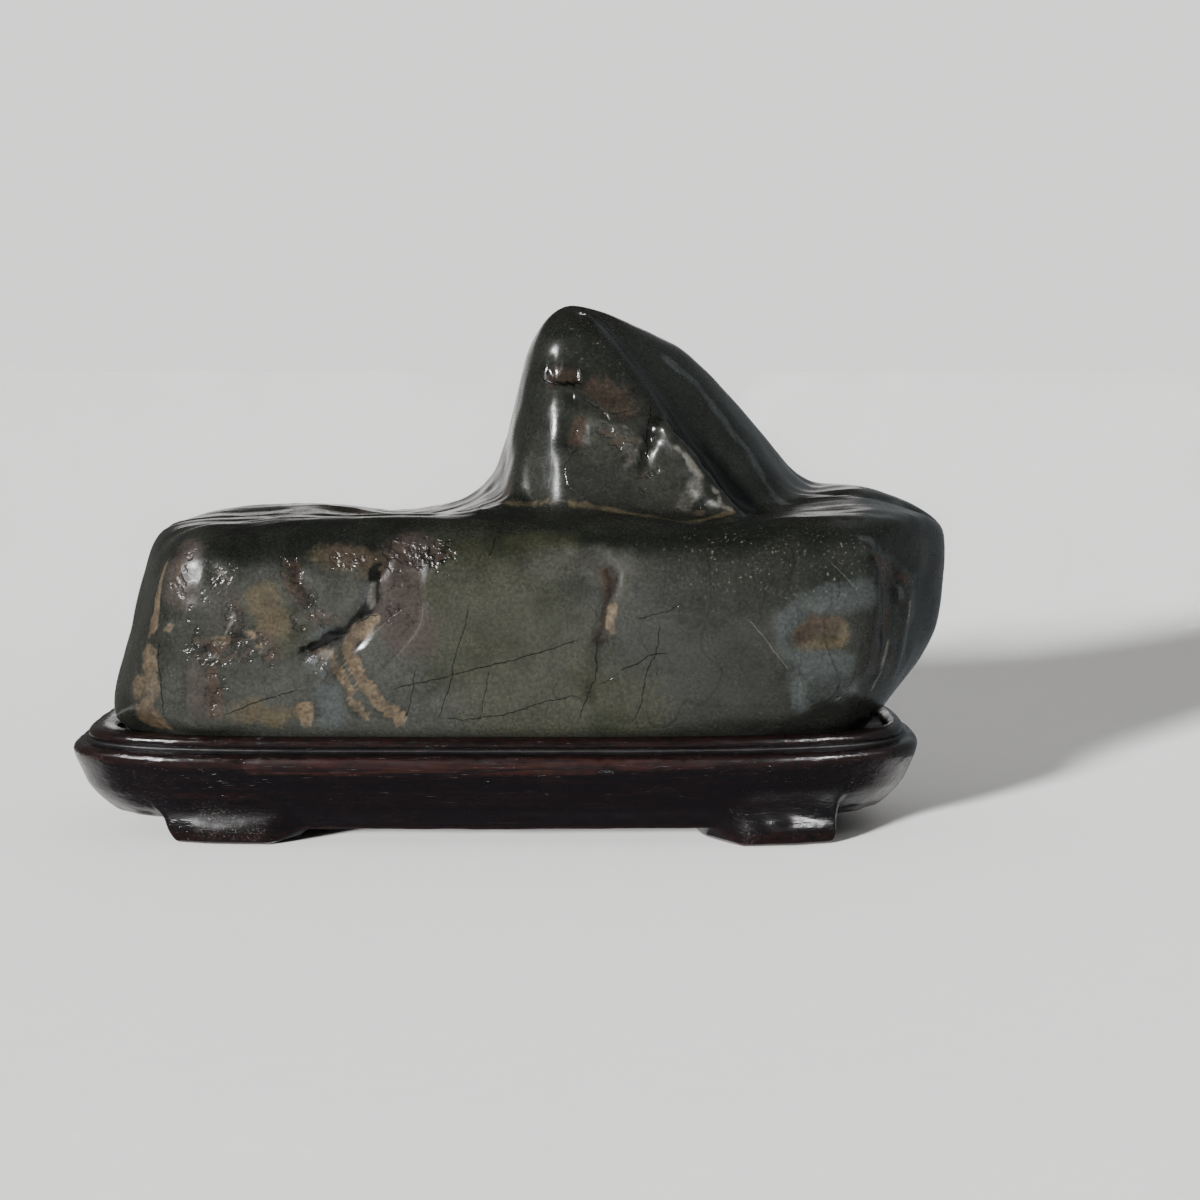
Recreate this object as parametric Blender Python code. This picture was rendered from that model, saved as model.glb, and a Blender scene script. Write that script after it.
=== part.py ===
"""A scholar's rock resting in the seat of its carved wooden stand.

The stone is one solid. It starts as a sphere, and every vertex moves out along its own ray until it
meets the surface where a few named planes run smoothly into each other. Hollows, ridges and ledges are
then pressed into that surface, and a Decimate modifier keeps triangles where the form needs them.
The stand is one solid too: a profile carried round a rounded oblong, which dips down into four feet.

Lengths are in millimetres until a vertex is placed. +Z is up, the show side faces -Y, and the stand's
feet rest on Z = 0.
"""
import math
from typing import NamedTuple

import bmesh
import bpy
import numpy as np

MM = 0.001

# ---- the stand ----
STAND_LENGTH = 210.0
STAND_DEPTH = 92.0
STAND_CENTRE_X = -3.3
LEFT_SQUARENESS = 4.2
RIGHT_SQUARENESS = 3.4
SEAT_Z = 23.5
RIM_TOP_Z = 26.6
UNDERSIDE_Z = 3.6
UNDERSIDE_INSET = 34.0
STAND_COLUMNS = 96
# The rim is wider at the left end, over a run of this length that starts this far from the middle.
LEFT_RIM_EXTRA = 3.0
LEFT_RIM_STARTS = 72.0
LEFT_RIM_RUN = 24.0
# Past the feet the underside lifts into a low arch at each end, over a run of this length.
END_ARCH_Z = 5.8
END_ARCH_STARTS = 72.0
END_ARCH_RUN = 18.0


# ---- the feet ----
class Foot(NamedTuple):
    """One pair of feet, front and back, seen along X."""

    middle: float
    half_width: float
    left_run: float
    right_run: float
    toe_inset: float

    def edges(self):
        """The middle and the length of its left and right shoulders."""
        return (self.middle - self.half_width, self.left_run), (self.middle + self.half_width, self.right_run)

    def toe_x(self, x):
        """Where columns of the stand's outline stand once they are set in as far as the toe."""
        return STAND_CENTRE_X + (x - STAND_CENTRE_X) * (1 - 2 * self.toe_inset / STAND_LENGTH)


FEET = [
    Foot(middle=-68.0, half_width=14.0, left_run=3.0, right_run=10.0, toe_inset=7.0),
    Foot(middle=67.2, half_width=12.6, left_run=3.0, right_run=3.5, toe_inset=3.4),
]
FOOT_INNER_INSET = 20.0
FOOT_INNER_RUN = 2.5
FOOT_EDGE_CROWDING = 5.0
FOOT_EDGE_MARGIN = 1.2

# ---- the stone ----
SEAT_GAP = 0.3
BED_Z = SEAT_Z + SEAT_GAP
HEART = np.array([18.0, 2.0, 44.0])
STONE_COLUMNS = 264
STONE_RINGS = 132
STONE_FACES = 5800
RELIEF_STARTS_Z = RIM_TOP_Z + 0.4
RELIEF_FULL_Z = RIM_TOP_Z + 5.0
TUCK_INSET = 8.4
TUCK_ELEVATION = -46
TUCK_PLANES = 18
OUTLINE_SAMPLES = 2880
CAST_NEAR = 8.0
CAST_FAR = 160.0
CAST_STEPS = 26

# ---- the planes that bound the stone: (azimuth, elevation of the normal, a point on the plane) ----
# Azimuth 0 faces +X, 90 faces the back, 180 faces -X and 270 faces the front.
WALLS = [
    (270, 1, (0, -39.5, 50)),
    (246, 4, (-74, -38, 50)),
    (201, 14, (-94, -14, 50)),
    (172, 14, (-94, 6, 50)),
    (128, 10, (-84, 32, 50)),
    (90, 6, (0, 38, 50)),
    (58, 4, (88, 31, 50)),
    (12, -3, (107, 14, 62)),
    (330, -3, (103, -12, 62)),
    (8, 52, (105.2, 6, 78.2)),
    (350, -36, (97.8, 0, 34)),
    (318, -38, (86, -30, 34)),
    (268, 46, (40, -36.5, 73)),
    (205, 50, (-85, -16, 73.4)),
]
LEFT_FOOT = (186, -2, (-98.9, -2, 30))
PLATEAU = [
    (88, 89, (-50, 0, 77.3)),
    (185, 84, (-66, 0, 76.6)),
]
RIGHT_LOBE = [
    (269, 80, (88, -14, 79.6)),
    (80, 72, (88, 24, 84.1)),
    (20, 62, (100, 10, 82.6)),
    (340, 66, (95, -14, 79.6)),
    (183, 66, (76, 16, 82)),
]
PEAK_ROOT_Z = 66
FRONT_BUTTRESS = [
    (190, 11, (2.3, -4, 102)),
    (222, 14, (8.5, -16, 95)),
    (276, 23, (25, -17, 95)),
    (345, 39, (46, -16.2, 91.7)),
    (60, 25, (30, 12, 100)),
    (100, 20, (12, 19, 100)),
    (262, 72, (18, -4, 126.8)),
    (195, 44, (6.8, -2, 123)),
    (0, 60, (24, 0, 127)),
    (240, 48, (11, -9, 121)),
    (0, -90, (0, 0, PEAK_ROOT_Z)),
]
REAR_RIDGE = [
    (186, 13, (3.5, 6, 102)),
    (268, 25, (25, -11, 95)),
    (300, 29, (53.5, 0, 96.5)),
    (341, 67, (28, 12, 126)),
    (341, 57, (42.5, 12, 119.2)),
    (341, 37, (54.2, 12, 105.6)),
    (334, 37, (63.5, -4, 90)),
    (58, 30, (56, 24, 104)),
    (88, 18, (30, 24, 95)),
    (140, 16, (8, 18, 95)),
    (180, 46, (7, 6, 125)),
    (85, 62, (26, 14, 126.2)),
    (0, -90, (0, 0, PEAK_ROOT_Z)),
]

# ---- how softly the forms run into each other ----
PLATEAU_ROUNDING = 1.0
RIGHT_LOBE_ROUNDING = 1.8
LOBE_FILLET = 1.2
WALL_ROUNDING = 2.1
FOOT_ROUNDING = 0.7
SHOULDER_ROUNDING = 1.8
BUTTRESS_ROUNDING = 1.6
RIDGE_ROUNDING = 1.2
VALLEY_FILLET = 1.0
PEAK_FILLET = 1.7
# The peak's fillet widens to the left and, less, to the right.
LEFT_FLARE = 4.0
LEFT_FLARE_FROM_X = 6.0
RIGHT_FLARE = 1.0
RIGHT_FLARE_FROM_X = 60.0
FLARE_RUN = 13.0

# ---- what is pressed into the stone: (path, radius, depth); a negative depth stands proud ----
LEFT_LOBE_MARKS = [
    ([(-69.5, -39, 66), (-68.5, -39, 62)], 2.6, 1.6),
    ([(-66.5, -39, 66)], 2.8, -0.9),
    ([(-72.5, -39, 52), (-74, -39, 50)], 2.8, 1.5),
    ([(-63.5, -39, 50)], 3.0, 1.3),
    ([(-69.5, -39, 46)], 2.8, 1.6),
    ([(-68.5, -39, 38), (-69.5, -39, 33)], 2.8, 1.0),
    ([(-55, -39, 56)], 6.0, 1.1),
    ([(-49, -39, 65), (-48.5, -39, 59)], 4.0, 1.1),
    ([(-47, -39, 32)], 3.0, 1.2),
]
SCAR_MARKS = [
    ([(-22.5, -39, 73), (-24, -39, 65), (-26.5, -39, 57), (-32, -39, 50)], 6.0, 1.7),
    ([(-28.5, -39, 70.5), (-31.5, -39, 64), (-31.5, -39, 59), (-36.5, -39, 53.5), (-46, -39, 47.5)], 2.4, 1.6),
    ([(-34, -39, 66), (-34.5, -39, 59), (-39, -39, 56)], 4.0, -1.1),
    ([(-33.5, -39, 52.5), (-36.5, -39, 47), (-35, -39, 43), (-30.5, -39, 35.5), (-25, -39, 30.5)], 1.9, 1.0),
    ([(-39.5, -39, 42), (-36, -39, 34.5), (-33.5, -39, 31.5)], 1.7, 0.9),
    ([(-42, -39, 44.5), (-43.5, -39, 42)], 3.0, -0.9),
]
RIGHT_MARKS = [
    ([(24, -39, 65.5), (24, -39, 59), (24, -39, 51)], 2.2, 1.1),
    ([(22, -39, 49), (21, -39, 42), (19.5, -39, 37)], 1.8, 0.5),
    ([(70, -39, 51.5), (78, -39, 52)], 11.0, -1.5),
    ([(70.5, -41, 51.3), (77.5, -41, 51.8)], 4.2, 2.3),
    ([(89, -33, 72), (93, -28, 65)], 6.5, 2.0),
    ([(91, -33, 58), (88, -34, 40)], 4.5, 1.0),
    ([(96, -24, 60), (92, -25, 42)], 3.5, -0.8),
]
PEAK_MARKS = [
    ([(39, -15, 98), (44, -16, 91), (49, -19, 84), (53, -20, 79)], 3.2, -1.6),
    ([(32, -17, 88), (39, -18, 83)], 7.0, 1.3),
    ([(10, -10, 112), (15.5, -10, 112)], 4.2, 1.3),
    ([(23, -13, 107), (27.5, -13, 106)], 5.0, 1.2),
    ([(17, -16, 99), (16.5, -17, 95.5)], 3.4, 1.0),
    ([(34.3, -15, 104), (33.8, -16, 97.5), (33, -17, 90.5)], 2.0, 1.4),
    ([(47, -10, 102), (52, -10, 92), (57, -10, 81)], 6.5, 1.6),
]
TOP_MARKS = [
    ([(-70, -16, 77), (-40, -19, 78), (-20, -22, 78)], 2.6, 0.8),
    ([(-60, -2, 78), (-25, -9, 78), (-8, -16, 78)], 3.0, 0.8),
    ([(-45, 12, 78), (-18, 4, 78)], 3.6, 0.9),
    ([(-70, 20, 78), (-48, 22, 78)], 12.0, -1.5),
    ([(-32, 26, 78), (-30, 10, 78)], 9.0, 1.3),
    ([(78, 4, 80), (92, 0, 80), (104, -2, 77)], 3.0, 1.6),
]
BACK_MARKS = [
    ([(-60, 38, 66), (-48, 38, 48), (-40, 38, 34)], 7.0, 2.4),
    ([(-10, 39, 40), (18, 39, 50), (44, 39, 48)], 9.0, -1.8),
    ([(30, 26, 92), (44, 30, 82), (56, 36, 70)], 6.0, 2.2),
    ([(0, 26, 96), (-4, 34, 78)], 6.0, 1.8),
    ([(70, 36, 64), (84, 33, 44)], 6.0, 2.0),
    ([(-88, 12, 64), (-94, 10, 44)], 6.0, 1.4),
]
MARKS = LEFT_LOBE_MARKS + SCAR_MARKS + RIGHT_MARKS + PEAK_MARKS + TOP_MARKS + BACK_MARKS

# ---- slow waves over the whole stone: (size, swell, seed) ----
WAVES = [(26.0, 0.55, 1), (11.0, 0.30, 2), (5.5, 0.12, 3)]

# ---- the rings that spread the sphere's vertices over the stone ----
# Each is (height, centre X, centre Y, half length, half depth, squareness).
GUIDE_RINGS = [
    (BED_Z, 18, 0, 1, 1, 2.0),
    (BED_Z, -3, 0, 88, 33, 3.2),
    (50, 4, 0, 102, 40, 3.6),
    (76, 4, 0, 96, 36, 3.4),
    (81, 28, 2, 46, 29, 2.4),
    (100, 26, 2, 28, 20, 2.2),
    (127, 17, 0, 6, 5, 2.0),
    (129, 17, 0, 0.8, 0.8, 2.0),
]
ROUND_GUIDE_BELOW = 50.0


def clear_scene():
    """Remove every object of the open scene."""
    for piece in list(bpy.data.objects):
        bpy.data.objects.remove(piece)


def make_material(name, colour, roughness):
    """Return a plain Principled material in one colour."""
    material = bpy.data.materials.new(name)
    material.use_nodes = True
    shader = material.node_tree.nodes["Principled BSDF"]
    shader.inputs["Base Color"].default_value = (*colour, 1.0)
    shader.inputs["Roughness"].default_value = roughness
    return material


def add_object(name, mesh, material):
    """Link a mesh to the scene as an object with one material."""
    mesh.name = name
    mesh.materials.append(material)
    piece = bpy.data.objects.new(name, mesh)
    bpy.context.collection.objects.link(piece)
    return piece


def wrapped_sphere(name, rings, bottom, top):
    """Return a sphere's mesh, its rings of vertices moved to the given rings of points."""
    levels, columns = len(rings) + 1, len(rings[0])
    shape = bmesh.new()
    bmesh.ops.create_uvsphere(shape, u_segments=columns, v_segments=levels, radius=1)
    for vertex in shape.verts:
        level = round(math.acos(max(-1.0, min(1.0, -vertex.co.z))) / math.pi * levels)
        column = round(math.atan2(vertex.co.y, vertex.co.x) / (2 * math.pi) * columns) % columns
        if level == 0:
            place = bottom
        elif level == levels:
            place = top
        else:
            place = rings[level - 1][column]
        vertex.co = place * MM
    mesh = bpy.data.meshes.new(name)
    shape.to_mesh(mesh)
    shape.free()
    return mesh


# ---------------------------------------------------------------- plans

def rounded_oblong(centre_x, centre_y, half_length, half_depth, squareness, turns):
    """Points of a rounded oblong at the given turns, in radians, counted from +X."""
    across, along = np.cos(turns), np.sin(turns)
    power = 2 / squareness
    x = centre_x + half_length * np.sign(across) * np.abs(across) ** power
    y = centre_y + half_depth * np.sign(along) * np.abs(along) ** power
    return np.stack([x, y], axis=1)


def even_turns(outline, count, evenness=1.0):
    """Turns that place `count` points at even steps along an outline, given as a rule from turns to points."""
    turns = np.linspace(0, 2 * np.pi, OUTLINE_SAMPLES + 1)
    lengths = np.linalg.norm(np.diff(outline(turns), axis=0), axis=1)
    travelled = np.concatenate([[0], np.cumsum(lengths)])
    travelled = evenness * travelled / travelled[-1] + (1 - evenness) * turns / (2 * np.pi)
    return np.interp(np.arange(count) / count, travelled, turns)


def foot_share(x, foot):
    """How much of a foot's section each column has, from 0 to 1."""
    (left, left_run), (right, right_run) = foot.edges()
    from_left = (foot.toe_x(x) - left) / left_run
    from_right = (right - foot.toe_x(x)) / right_run
    return smooth_step(np.minimum(from_left, from_right) + 0.5)


def crowded_turns(count):
    """Turns round the stand's widest outline, closer together at the sides of the feet."""
    turns = stand_turns(OUTLINE_SAMPLES)
    outline = ring_around(0, turns)
    density = np.ones(len(turns))
    for foot in FEET:
        for edge, run in foot.edges():
            beside = np.abs(foot.toe_x(outline[:, 0]) - edge) < run / 2 + FOOT_EDGE_MARGIN
            density += FOOT_EDGE_CROWDING * beside
    travelled = np.concatenate([[0], np.cumsum(density)])
    stations = np.arange(count) / count * travelled[-1]
    return np.interp(stations, travelled[:-1], turns)


def smooth_step(values):
    """Ease values from 0 to 1 with no corner at either end."""
    eased = np.clip(values, 0, 1)
    return eased * eased * (3 - 2 * eased)


def ring_around(inset, turns):
    """Plan points of one ring of the stand, set in from its widest outline. Its left end is squarer."""
    half_length = STAND_LENGTH / 2 - inset
    half_depth = STAND_DEPTH / 2 - inset
    squareness = np.where(np.cos(turns) < 0, LEFT_SQUARENESS, RIGHT_SQUARENESS)
    return rounded_oblong(STAND_CENTRE_X, 0, half_length, half_depth, squareness, turns)


def seat_ring(inset, turns):
    """Plan points of one ring of the seat, whose rim is wider at the stand's left end."""
    ring = ring_around(inset, turns)
    toward_left = smooth_step((STAND_CENTRE_X - LEFT_RIM_STARTS - ring[:, 0]) / LEFT_RIM_RUN)[:, None]
    return ring + (ring_around(inset + LEFT_RIM_EXTRA, turns) - ring) * toward_left


def stand_turns(count):
    """Turns that place points at even steps round the stand's widest outline."""
    return even_turns(lambda turns: ring_around(0, turns), count)


def tuck_planes():
    """Planes that draw the stone's foot in, all round, so that it clears the rim of the seat."""
    corners = seat_ring(TUCK_INSET, stand_turns(TUCK_PLANES))
    planes = []
    for start, end in zip(corners, np.roll(corners, -1, axis=0)):
        along = end - start
        azimuth = math.degrees(math.atan2(-along[0], along[1]))
        planes.append((azimuth, TUCK_ELEVATION, (*(start + end) / 2, RIM_TOP_Z)))
    return planes


# ---------------------------------------------------------------- the stone's field

TUCK = tuck_planes() + [LEFT_FOOT]


def smooth_max(distances, blend):
    """Join distances as an intersection whose edges are rounded by `blend`."""
    stack = np.stack(distances)
    highest = stack.max(axis=0)
    return highest + blend * np.log(np.exp((stack - highest) / blend).sum(axis=0))


def smooth_min(distances, blend):
    """Join distances as a union whose inner corners are filled by `blend`."""
    return -smooth_max([-distance for distance in distances], blend)


def plane_distance(points, azimuth, elevation, through):
    """Signed distance of the points from one plane, positive outside."""
    turn, lift = math.radians(azimuth), math.radians(elevation)
    normal = np.array([
        math.cos(lift) * math.cos(turn),
        math.cos(lift) * math.sin(turn),
        math.sin(lift),
    ])
    return (points - np.array(through, dtype=float)) @ normal


def hull_distance(points, planes, blend):
    """Signed distance from the rounded hull that a list of planes bounds."""
    return smooth_max([plane_distance(points, *plane) for plane in planes], blend)


def stone_field(points):
    """Signed distance from the stone's main forms."""
    plateau = hull_distance(points, PLATEAU, PLATEAU_ROUNDING)
    lobe = hull_distance(points, RIGHT_LOBE, RIGHT_LOBE_ROUNDING)
    tops = smooth_min([plateau, lobe], LOBE_FILLET)
    tuck = np.max([plane_distance(points, *plane) for plane in TUCK], axis=0)
    bed = BED_Z - points[:, 2]
    walls = smooth_max([hull_distance(points, WALLS, WALL_ROUNDING), tuck, bed], FOOT_ROUNDING)
    block = smooth_max([walls, tops], SHOULDER_ROUNDING)
    buttress = hull_distance(points, FRONT_BUTTRESS, BUTTRESS_ROUNDING)
    ridge = hull_distance(points, REAR_RIDGE, RIDGE_ROUNDING)
    peak = smooth_min([buttress, ridge], VALLEY_FILLET)
    left_flare = LEFT_FLARE * np.clip((LEFT_FLARE_FROM_X - points[:, 0]) / FLARE_RUN, 0, 1)
    right_flare = RIGHT_FLARE * np.clip((points[:, 0] - RIGHT_FLARE_FROM_X) / FLARE_RUN, 0, 1)
    return smooth_min([block, peak], PEAK_FILLET + left_flare + right_flare)


def cast_to_surface(directions):
    """Follow each ray out from the stone's heart to its surface."""
    near = np.full(len(directions), CAST_NEAR)
    far = np.full(len(directions), CAST_FAR)
    for _ in range(CAST_STEPS):
        middle = (near + far) / 2
        inside = stone_field(HEART + directions * middle[:, None]) < 0
        near = np.where(inside, middle, near)
        far = np.where(inside, far, middle)
    return HEART + directions * ((near + far) / 2)[:, None]


def surface_normals(points, step=0.05):
    """Outward normals of the main forms at points on their surface."""
    slopes = [stone_field(points + step * axis) - stone_field(points - step * axis) for axis in np.eye(3)]
    normals = np.stack(slopes, axis=1)
    return normals / np.linalg.norm(normals, axis=1)[:, None]


def path_distance(points, path):
    """Distance of the points from a path of one or more straight steps."""
    corners = np.array(path, dtype=float)
    nearest = np.linalg.norm(points - corners[0], axis=1)
    for start, end in zip(corners[:-1], corners[1:]):
        step = end - start
        share = np.clip((points - start) @ step / (step @ step), 0, 1)
        nearest = np.minimum(nearest, np.linalg.norm(points - start - share[:, None] * step, axis=1))
    return nearest


def lattice_value(column, row, layer, seed):
    """A repeatable value from 0 to 1 for each point of a lattice."""
    mixed = (column * 374761393 + row * 668265263 + layer * 2147483647 + seed * 1274126177) & 0xFFFFFFFF
    mixed = ((mixed ^ (mixed >> 13)) * 1274126177) & 0xFFFFFFFF
    return (mixed ^ (mixed >> 16)) / 4294967295.0


def wave(points, size, seed):
    """Smooth waves from -1 to 1 whose swells are about `size` apart."""
    scaled = points / size + 100.0
    cell = np.floor(scaled).astype(np.int64)
    part = scaled - cell
    part = part ** 3 * (part * (part * 6 - 15) + 10)
    total = np.zeros(len(points))
    for corner in np.ndindex(2, 2, 2):
        weight = np.prod(np.where(corner, part, 1 - part), axis=1)
        total += weight * lattice_value(*(cell + corner).T, seed)
    return total * 2 - 1


def relief_height(points):
    """How far the finished surface stands out from the main forms."""
    height = sum(swell * wave(points, size, seed) for size, swell, seed in WAVES)
    for path, radius, depth in MARKS:
        height -= depth * np.exp(-(path_distance(points, path) / radius) ** 2)
    fade = (points[:, 2] - RELIEF_STARTS_Z) / (RELIEF_FULL_Z - RELIEF_STARTS_Z)
    return height * np.clip(fade, 0, 1)


def guide_points():
    """A grid of points near the stone's surface, rings upwards from the bed to the summit."""
    rings = []
    for height, *plan in GUIDE_RINGS:
        evenness = min(1.0, plan[2] / ROUND_GUIDE_BELOW)
        turns = even_turns(lambda turns: rounded_oblong(*plan, turns), STONE_COLUMNS, evenness)
        rings.append(np.column_stack([rounded_oblong(*plan, turns), np.full(STONE_COLUMNS, float(height))]))
    rings = np.array(rings)
    steps = np.linalg.norm(np.diff(rings, axis=0), axis=2).mean(axis=1)
    travelled = np.concatenate([[0], np.cumsum(steps)])
    stations = np.linspace(0, travelled[-1], STONE_RINGS + 1)[1:-1]
    upper = np.clip(np.searchsorted(travelled, stations), 1, len(rings) - 1)
    share = (stations - travelled[upper - 1]) / (travelled[upper] - travelled[upper - 1])
    share = share[:, None, None]
    return rings[upper - 1] * (1 - share) + rings[upper] * share


def add_stone(material):
    """Add the stone, with fewer triangles where it is flat."""
    grid = guide_points().reshape(-1, 3) - HEART
    directions = np.concatenate([grid, [[0, 0, -1], [0, 0, 1]]])
    directions /= np.linalg.norm(directions, axis=1)[:, None]
    surface = cast_to_surface(directions)
    surface += surface_normals(surface) * relief_height(surface)[:, None]
    rings = surface[:-2].reshape(STONE_RINGS - 1, STONE_COLUMNS, 3)
    stone = add_object("stone", wrapped_sphere("stone", rings, surface[-2], surface[-1]), material)
    thinning = stone.modifiers.new("thin out the flat areas", "DECIMATE")
    thinning.ratio = STONE_FACES / (2 * STONE_COLUMNS * (STONE_RINGS - 1))
    return stone


# ---------------------------------------------------------------- the stand

# Each step of the profile is (set in from the widest outline, height), from the seat's floor outwards,
# over the rim and down the apron to the flat underside.
SEAT_STEPS = [(30.0, SEAT_Z), (9.4, SEAT_Z), (8.6, SEAT_Z + 0.7), (8.3, RIM_TOP_Z - 0.9), (7.5, RIM_TOP_Z)]
RIM_STEPS = [(5.4, RIM_TOP_Z), (4.2, 25.6), (4.1, 24.3), (4.7, 23.3)]
APRON_STEPS = [
    (3.3, 23.2),
    (1.1, 22.8),
    (0.1, 21.6),
    (0.0, 19.8),
    (0.7, 16.8),
    (2.4, 12.6),
    (4.7, 8.8),
    (7.2, 6.2),
    (8.6, 4.9),
    (9.6, UNDERSIDE_Z),
    (FOOT_INNER_INSET, UNDERSIDE_Z),
    (FOOT_INNER_INSET + FOOT_INNER_RUN, UNDERSIDE_Z),
    (UNDERSIDE_INSET, UNDERSIDE_Z),
]
END_STEPS = [
    (3.3, 23.2),
    (1.3, 22.8),
    (0.5, 21.6),
    (0.9, 19.8),
    (2.2, 16.8),
    (3.9, 12.6),
    (5.8, 10.0),
    (7.5, 7.9),
    (8.7, 6.8),
    (9.8, END_ARCH_Z),
    *APRON_STEPS[-3:],
]


# Feet leave the apron below this step.
FOOT_LEVEL = 6


def foot_steps(toe_inset):
    """The apron's steps from FOOT_LEVEL on, where a foot runs down to the ground."""
    return [
        (toe_inset - 0.6, 8.0),
        (toe_inset - 0.9, 4.2),
        (toe_inset - 0.6, 1.6),
        (toe_inset + 0.6, 0.0),
        (FOOT_INNER_INSET, 0.0),
        (FOOT_INNER_INSET + FOOT_INNER_RUN, UNDERSIDE_Z),
        (UNDERSIDE_INSET, UNDERSIDE_Z),
    ]


def stand_rings():
    """The stand's rings of points, from the seat's floor out, over the rim and in under the base."""
    turns = crowded_turns(STAND_COLUMNS)
    outline = ring_around(0, turns)
    rings = []
    for inset, height in SEAT_STEPS:
        rings.append(np.column_stack([seat_ring(inset, turns), np.full(STAND_COLUMNS, height)]))
    for inset, height in RIM_STEPS:
        rings.append(np.column_stack([ring_around(inset, turns), np.full(STAND_COLUMNS, height)]))
    past_feet = smooth_step((np.abs(outline[:, 0] - STAND_CENTRE_X) - END_ARCH_STARTS) / END_ARCH_RUN)
    shares = [foot_share(outline[:, 0], foot) for foot in FEET]
    deepest = ring_around(UNDERSIDE_INSET, turns)
    for level, step in enumerate(APRON_STEPS):
        steps = step + past_feet[:, None] * (np.array(END_STEPS[level]) - step)
        if level >= FOOT_LEVEL:
            for foot, share in zip(FEET, shares):
                steps += share[:, None] * (np.array(foot_steps(foot.toe_inset)[level - FOOT_LEVEL]) - steps)
        pull = steps[:, :1] / UNDERSIDE_INSET
        rings.append(np.column_stack([outline * (1 - pull) + deepest * pull, steps[:, 1]]))
    return rings


def add_stand(material):
    """Add the stand, from the middle of its underside out and up to the middle of its seat."""
    rings = np.array(stand_rings())[::-1]
    underside = np.array([STAND_CENTRE_X, 0, UNDERSIDE_Z])
    seat = np.array([STAND_CENTRE_X, 0, SEAT_Z])
    return add_object("stand", wrapped_sphere("stand", rings, underside, seat), material)


def main():
    """Build the whole part."""
    clear_scene()
    add_stand(make_material("dark wood", (0.016, 0.010, 0.010), 0.35))
    add_stone(make_material("green-black stone", (0.060, 0.062, 0.050), 0.38))


main()
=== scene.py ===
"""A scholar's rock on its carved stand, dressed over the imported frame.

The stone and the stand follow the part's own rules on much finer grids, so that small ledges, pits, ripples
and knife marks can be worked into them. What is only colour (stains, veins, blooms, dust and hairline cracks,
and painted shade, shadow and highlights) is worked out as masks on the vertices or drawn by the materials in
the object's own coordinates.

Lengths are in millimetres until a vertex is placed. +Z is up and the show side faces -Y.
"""
import logging
import math
from dataclasses import dataclass
from enum import Enum
from functools import reduce
from typing import Callable, NamedTuple, Sequence

import bpy
import numpy as np
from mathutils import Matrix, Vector


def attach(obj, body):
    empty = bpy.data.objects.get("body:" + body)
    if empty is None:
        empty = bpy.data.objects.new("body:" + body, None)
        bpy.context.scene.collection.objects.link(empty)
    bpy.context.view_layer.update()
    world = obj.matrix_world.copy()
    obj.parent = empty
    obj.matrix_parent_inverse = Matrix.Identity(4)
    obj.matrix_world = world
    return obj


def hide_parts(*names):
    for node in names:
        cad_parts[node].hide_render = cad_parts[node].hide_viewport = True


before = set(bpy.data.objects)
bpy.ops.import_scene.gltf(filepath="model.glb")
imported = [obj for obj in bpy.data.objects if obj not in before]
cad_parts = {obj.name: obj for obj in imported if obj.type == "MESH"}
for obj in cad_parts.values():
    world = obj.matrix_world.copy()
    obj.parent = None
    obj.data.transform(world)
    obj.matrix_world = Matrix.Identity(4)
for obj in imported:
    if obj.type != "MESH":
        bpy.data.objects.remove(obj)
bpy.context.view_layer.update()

MM = 0.001
log = logging.getLogger("scholars rock")

Array = np.ndarray
Point = tuple[float, float, float]
Colour = tuple[float, float, float]


# ---------------------------------------------------------------- small rules on whole arrays

def smooth_step(values: Array) -> Array:
    """Ease values from 0 to 1 with no corner at either end: 3v^2 - 2v^3 on the clipped value."""
    eased = np.clip(values, 0, 1)
    return eased * eased * (3 - 2 * eased)


def smooth_max(distances: Sequence[Array], blend: float) -> Array:
    """Join distances as an intersection with rounded edges: the log of their summed exponentials.

    Args:
        distances: signed distances of the same points from several bodies.
        blend: how far, in millimetres, the edge is rounded.

    Returns:
        The joined distance of each point.
    """
    stack = np.stack(distances)
    highest = stack.max(axis=0)
    return highest + blend * np.log(np.exp((stack - highest) / blend).sum(axis=0))


def smooth_min(distances: Sequence[Array], blend: float) -> Array:
    """Join distances as a union whose inner corners are filled by `blend`."""
    return -smooth_max([-distance for distance in distances], blend)


def lattice_value(column: Array, row: Array, layer: Array, seed: int) -> Array:
    """A repeatable value from 0 to 1 for each point of a lattice, mixed from its three whole numbers."""
    mixed = (column * 374761393 + row * 668265263 + layer * 2147483647 + seed * 1274126177) & 0xFFFFFFFF
    mixed = ((mixed ^ (mixed >> 13)) * 1274126177) & 0xFFFFFFFF
    return (mixed ^ (mixed >> 16)) / 4294967295.0


def wave(points: Array, size: float | Sequence[float], seed: int) -> Array:
    """Smooth waves from -1 to 1: lattice values joined by a fifth-power ease along each axis.

    Args:
        points: places in millimetres, one row each.
        size: distance between swells, the same along every axis or one for each.
        seed: number that picks one pattern of waves.

    Returns:
        The wave's height at each point.
    """
    scaled = points / np.asarray(size, dtype=float) + 100.0
    cell = np.floor(scaled).astype(np.int64)
    part = scaled - cell
    part = part ** 3 * (part * (part * 6 - 15) + 10)
    total = np.zeros(len(points))
    for corner in np.ndindex(2, 2, 2):
        weight = np.prod(np.where(corner, part, 1 - part), axis=1)
        total += weight * lattice_value(*(cell + corner).T, seed)
    return total * 2 - 1


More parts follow.
